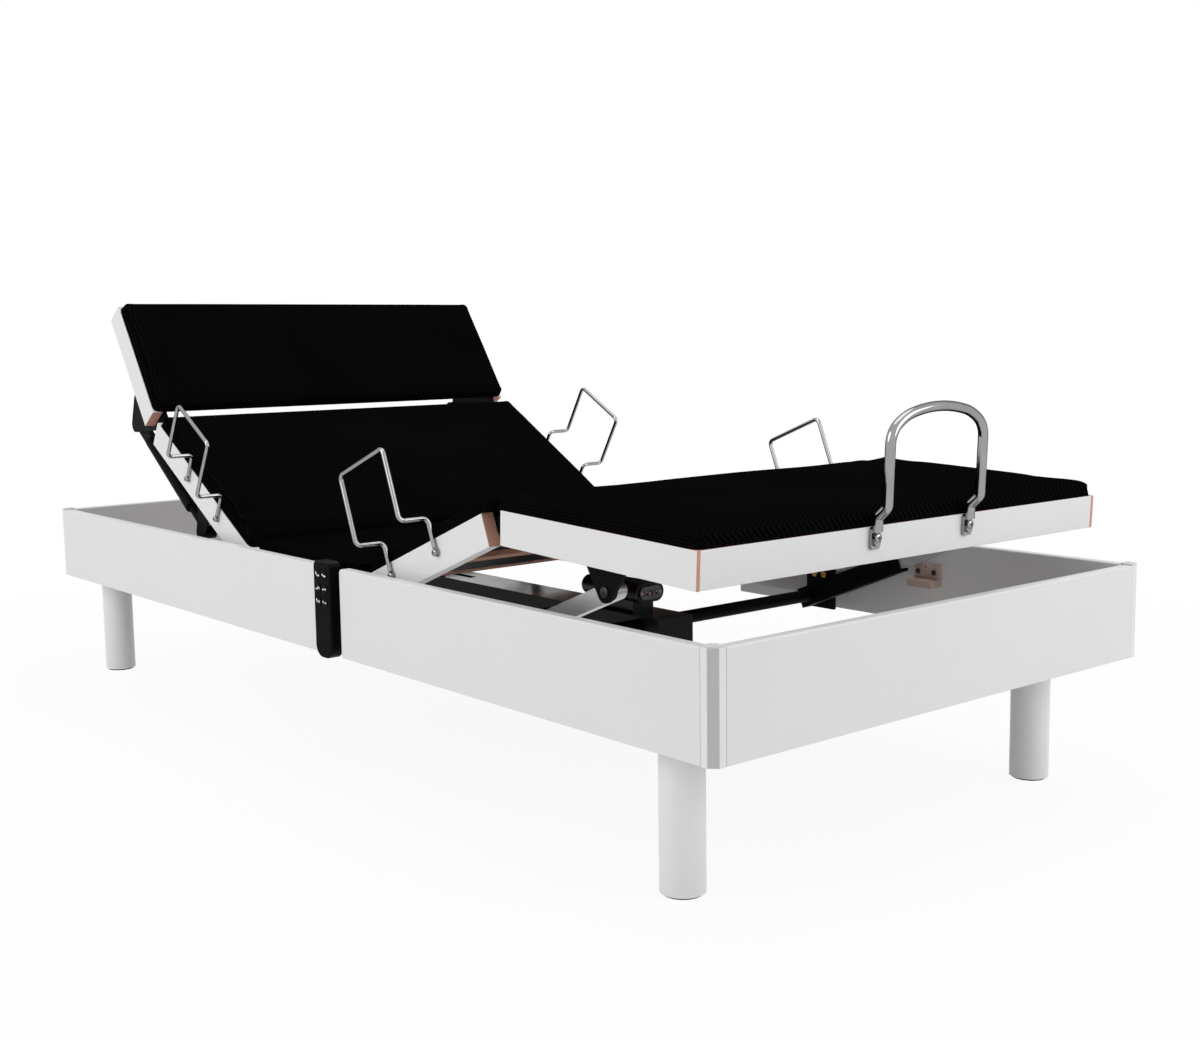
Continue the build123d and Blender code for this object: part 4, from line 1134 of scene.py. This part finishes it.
class BEDBASE_OT_stage(bpy.types.Operator):
    """Set up the floor, the lamps and the camera"""

    bl_idname = "bed_base.stage"
    bl_label = "Stage"

    def execute(self, context):
        own = settings_of(context, "bed_stage")
        scene = context.scene
        scene.view_settings.view_transform = "Standard"
        self.camera(scene, own)
        self.floor(scene, own)
        self.sky(scene, own)
        for name, place, size, power in (
            ("key_lamp", (-0.6, -4.4, 2.6), 3.2, own.key),
            ("side_lamp", (3.8, 1.7, 1.7), 2.6, own.side),
            ("top_lamp", (0.2, 0.4, 4.2), 3.6, own.top),
        ):
            self.lamp(scene, name, Vector(place), size, power)
        return {"FINISHED"}

    def camera(self, scene, own):
        """The camera at the photograph's viewing angle."""
        level = math.cos(own.tilt)
        back = Vector((math.sin(own.turn) * level, -math.cos(own.turn) * level, math.sin(own.tilt)))
        right = Vector((0, 0, 1)).cross(back).normalized()
        up = back.cross(right)
        across = right * math.cos(own.roll) + up * math.sin(own.roll)
        upward = up * math.cos(own.roll) - right * math.sin(own.roll)
        view = bpy.data.cameras.new("view")
        view.lens = own.lens
        view.sensor_width = 36.0
        eye = bpy.data.objects.new("view", view)
        scene.collection.objects.link(eye)
        turn = Matrix((across, upward, back)).transposed().to_4x4()
        eye.matrix_world = Matrix.Translation(own.eye) @ turn
        scene.camera = eye

    def floor(self, scene, own):
        """A pale floor that keeps the shadow."""

        def build(work):
            bmesh.ops.create_grid(work, x_segments=8, y_segments=8, size=FLOOR_REACH)

        mesh = mesh_from("floor", build)
        floor = bpy.data.objects.new("floor", mesh)
        scene.collection.objects.link(floor)
        finish = Finish("floor_pale")
        finish.put(Base_Color=tuple(own.floor), Roughness=0.9, Specular_IOR_Level=0.0)
        away = finish.add("ShaderNodeVectorMath", {0: finish.place}, operation="LENGTH")
        fade = finish.fade(away.outputs["Value"], own.near, own.far, own.veil, 1.0)
        self.seen_white(finish, finish.shader.outputs["BSDF"], fade)
        mesh.materials.append(finish.material)

    def seen_white(self, finish, lit, amount):
        """Mix white into what the camera and mirrors see, and leave the light alone."""
        part = finish.maths("MULTIPLY", seen_rays(finish.tree), amount)
        glow = finish.add("ShaderNodeEmission", {"Color": WHITE, "Strength": 1.0})
        mix = finish.add("ShaderNodeMixShader", {0: part, 1: lit, 2: glow.outputs[0]})
        output = finish.tree.nodes["Material Output"]
        finish.tree.links.new(mix.outputs[0], output.inputs["Surface"])

    def sky(self, scene, own):
        """Even light, and white where the camera sees it."""
        world = bpy.data.worlds.new("studio")
        world.use_nodes = True
        tree = world.node_tree
        even = tree.nodes["Background"]
        even.inputs["Color"].default_value = WHITE
        even.inputs["Strength"].default_value = own.sky
        white = tree.nodes.new("ShaderNodeBackground")
        white.inputs["Color"].default_value = WHITE
        mix = tree.nodes.new("ShaderNodeMixShader")
        tree.links.new(seen_rays(tree), mix.inputs[0])
        tree.links.new(even.outputs[0], mix.inputs[1])
        tree.links.new(white.outputs[0], mix.inputs[2])
        tree.links.new(mix.outputs[0], tree.nodes["World Output"].inputs["Surface"])
        scene.world = world

    def lamp(self, scene, name, place, size, power):
        """A large soft lamp aimed at the bed."""
        data = bpy.data.lights.new(name, "AREA")
        data.shape = "DISK"
        data.size = size
        data.energy = power
        lamp = bpy.data.objects.new(name, data)
        scene.collection.objects.link(lamp)
        aim = Vector(LAMP_AIM) - place
        lamp.location = place
        lamp.rotation_euler = aim.to_track_quat("-Z", "Y").to_euler()


OPERATORS = (
    BEDBASE_OT_stage, BEDBASE_OT_surround, BEDBASE_OT_steel_base, BEDBASE_OT_boards,
    BEDBASE_OT_pads, BEDBASE_OT_hinges, BEDBASE_OT_retainers, BEDBASE_OT_leg_lift,
    BEDBASE_OT_drive, BEDBASE_OT_handset,
)


class BEDBASE_PT_looks(bpy.types.Panel):
    """Steps and settings of the bed base's looks"""

    bl_label = "Bed base"
    bl_idname = "BEDBASE_PT_looks"
    bl_space_type = "VIEW_3D"
    bl_region_type = "UI"
    bl_category = "Bed base"

    def draw(self, context):
        for operator in OPERATORS:
            self.layout.operator(operator.bl_idname)
        for name, group in SETTING_GROUPS:
            box = self.layout.box()
            box.label(text=group.__doc__.rstrip("."))
            for key in group.__annotations__:
                box.prop(settings_of(context, name), key)


def register():
    for name, group in SETTING_GROUPS:
        bpy.utils.register_class(group)
        setattr(bpy.types.Scene, name, PointerProperty(type=group))
    for operator in OPERATORS:
        bpy.utils.register_class(operator)
    bpy.utils.register_class(BEDBASE_PT_looks)


def unregister():
    bpy.utils.unregister_class(BEDBASE_PT_looks)
    for operator in reversed(OPERATORS):
        bpy.utils.unregister_class(operator)
    for name, group in reversed(SETTING_GROUPS):
        delattr(bpy.types.Scene, name)
        bpy.utils.unregister_class(group)


def main():
    """Register the add-on and build every piece in order."""
    register()
    for operator in OPERATORS:
        step = operator.bl_idname.split(".")[1]
        getattr(bpy.ops.bed_base, step)()


if __name__ == "__main__":
    main()
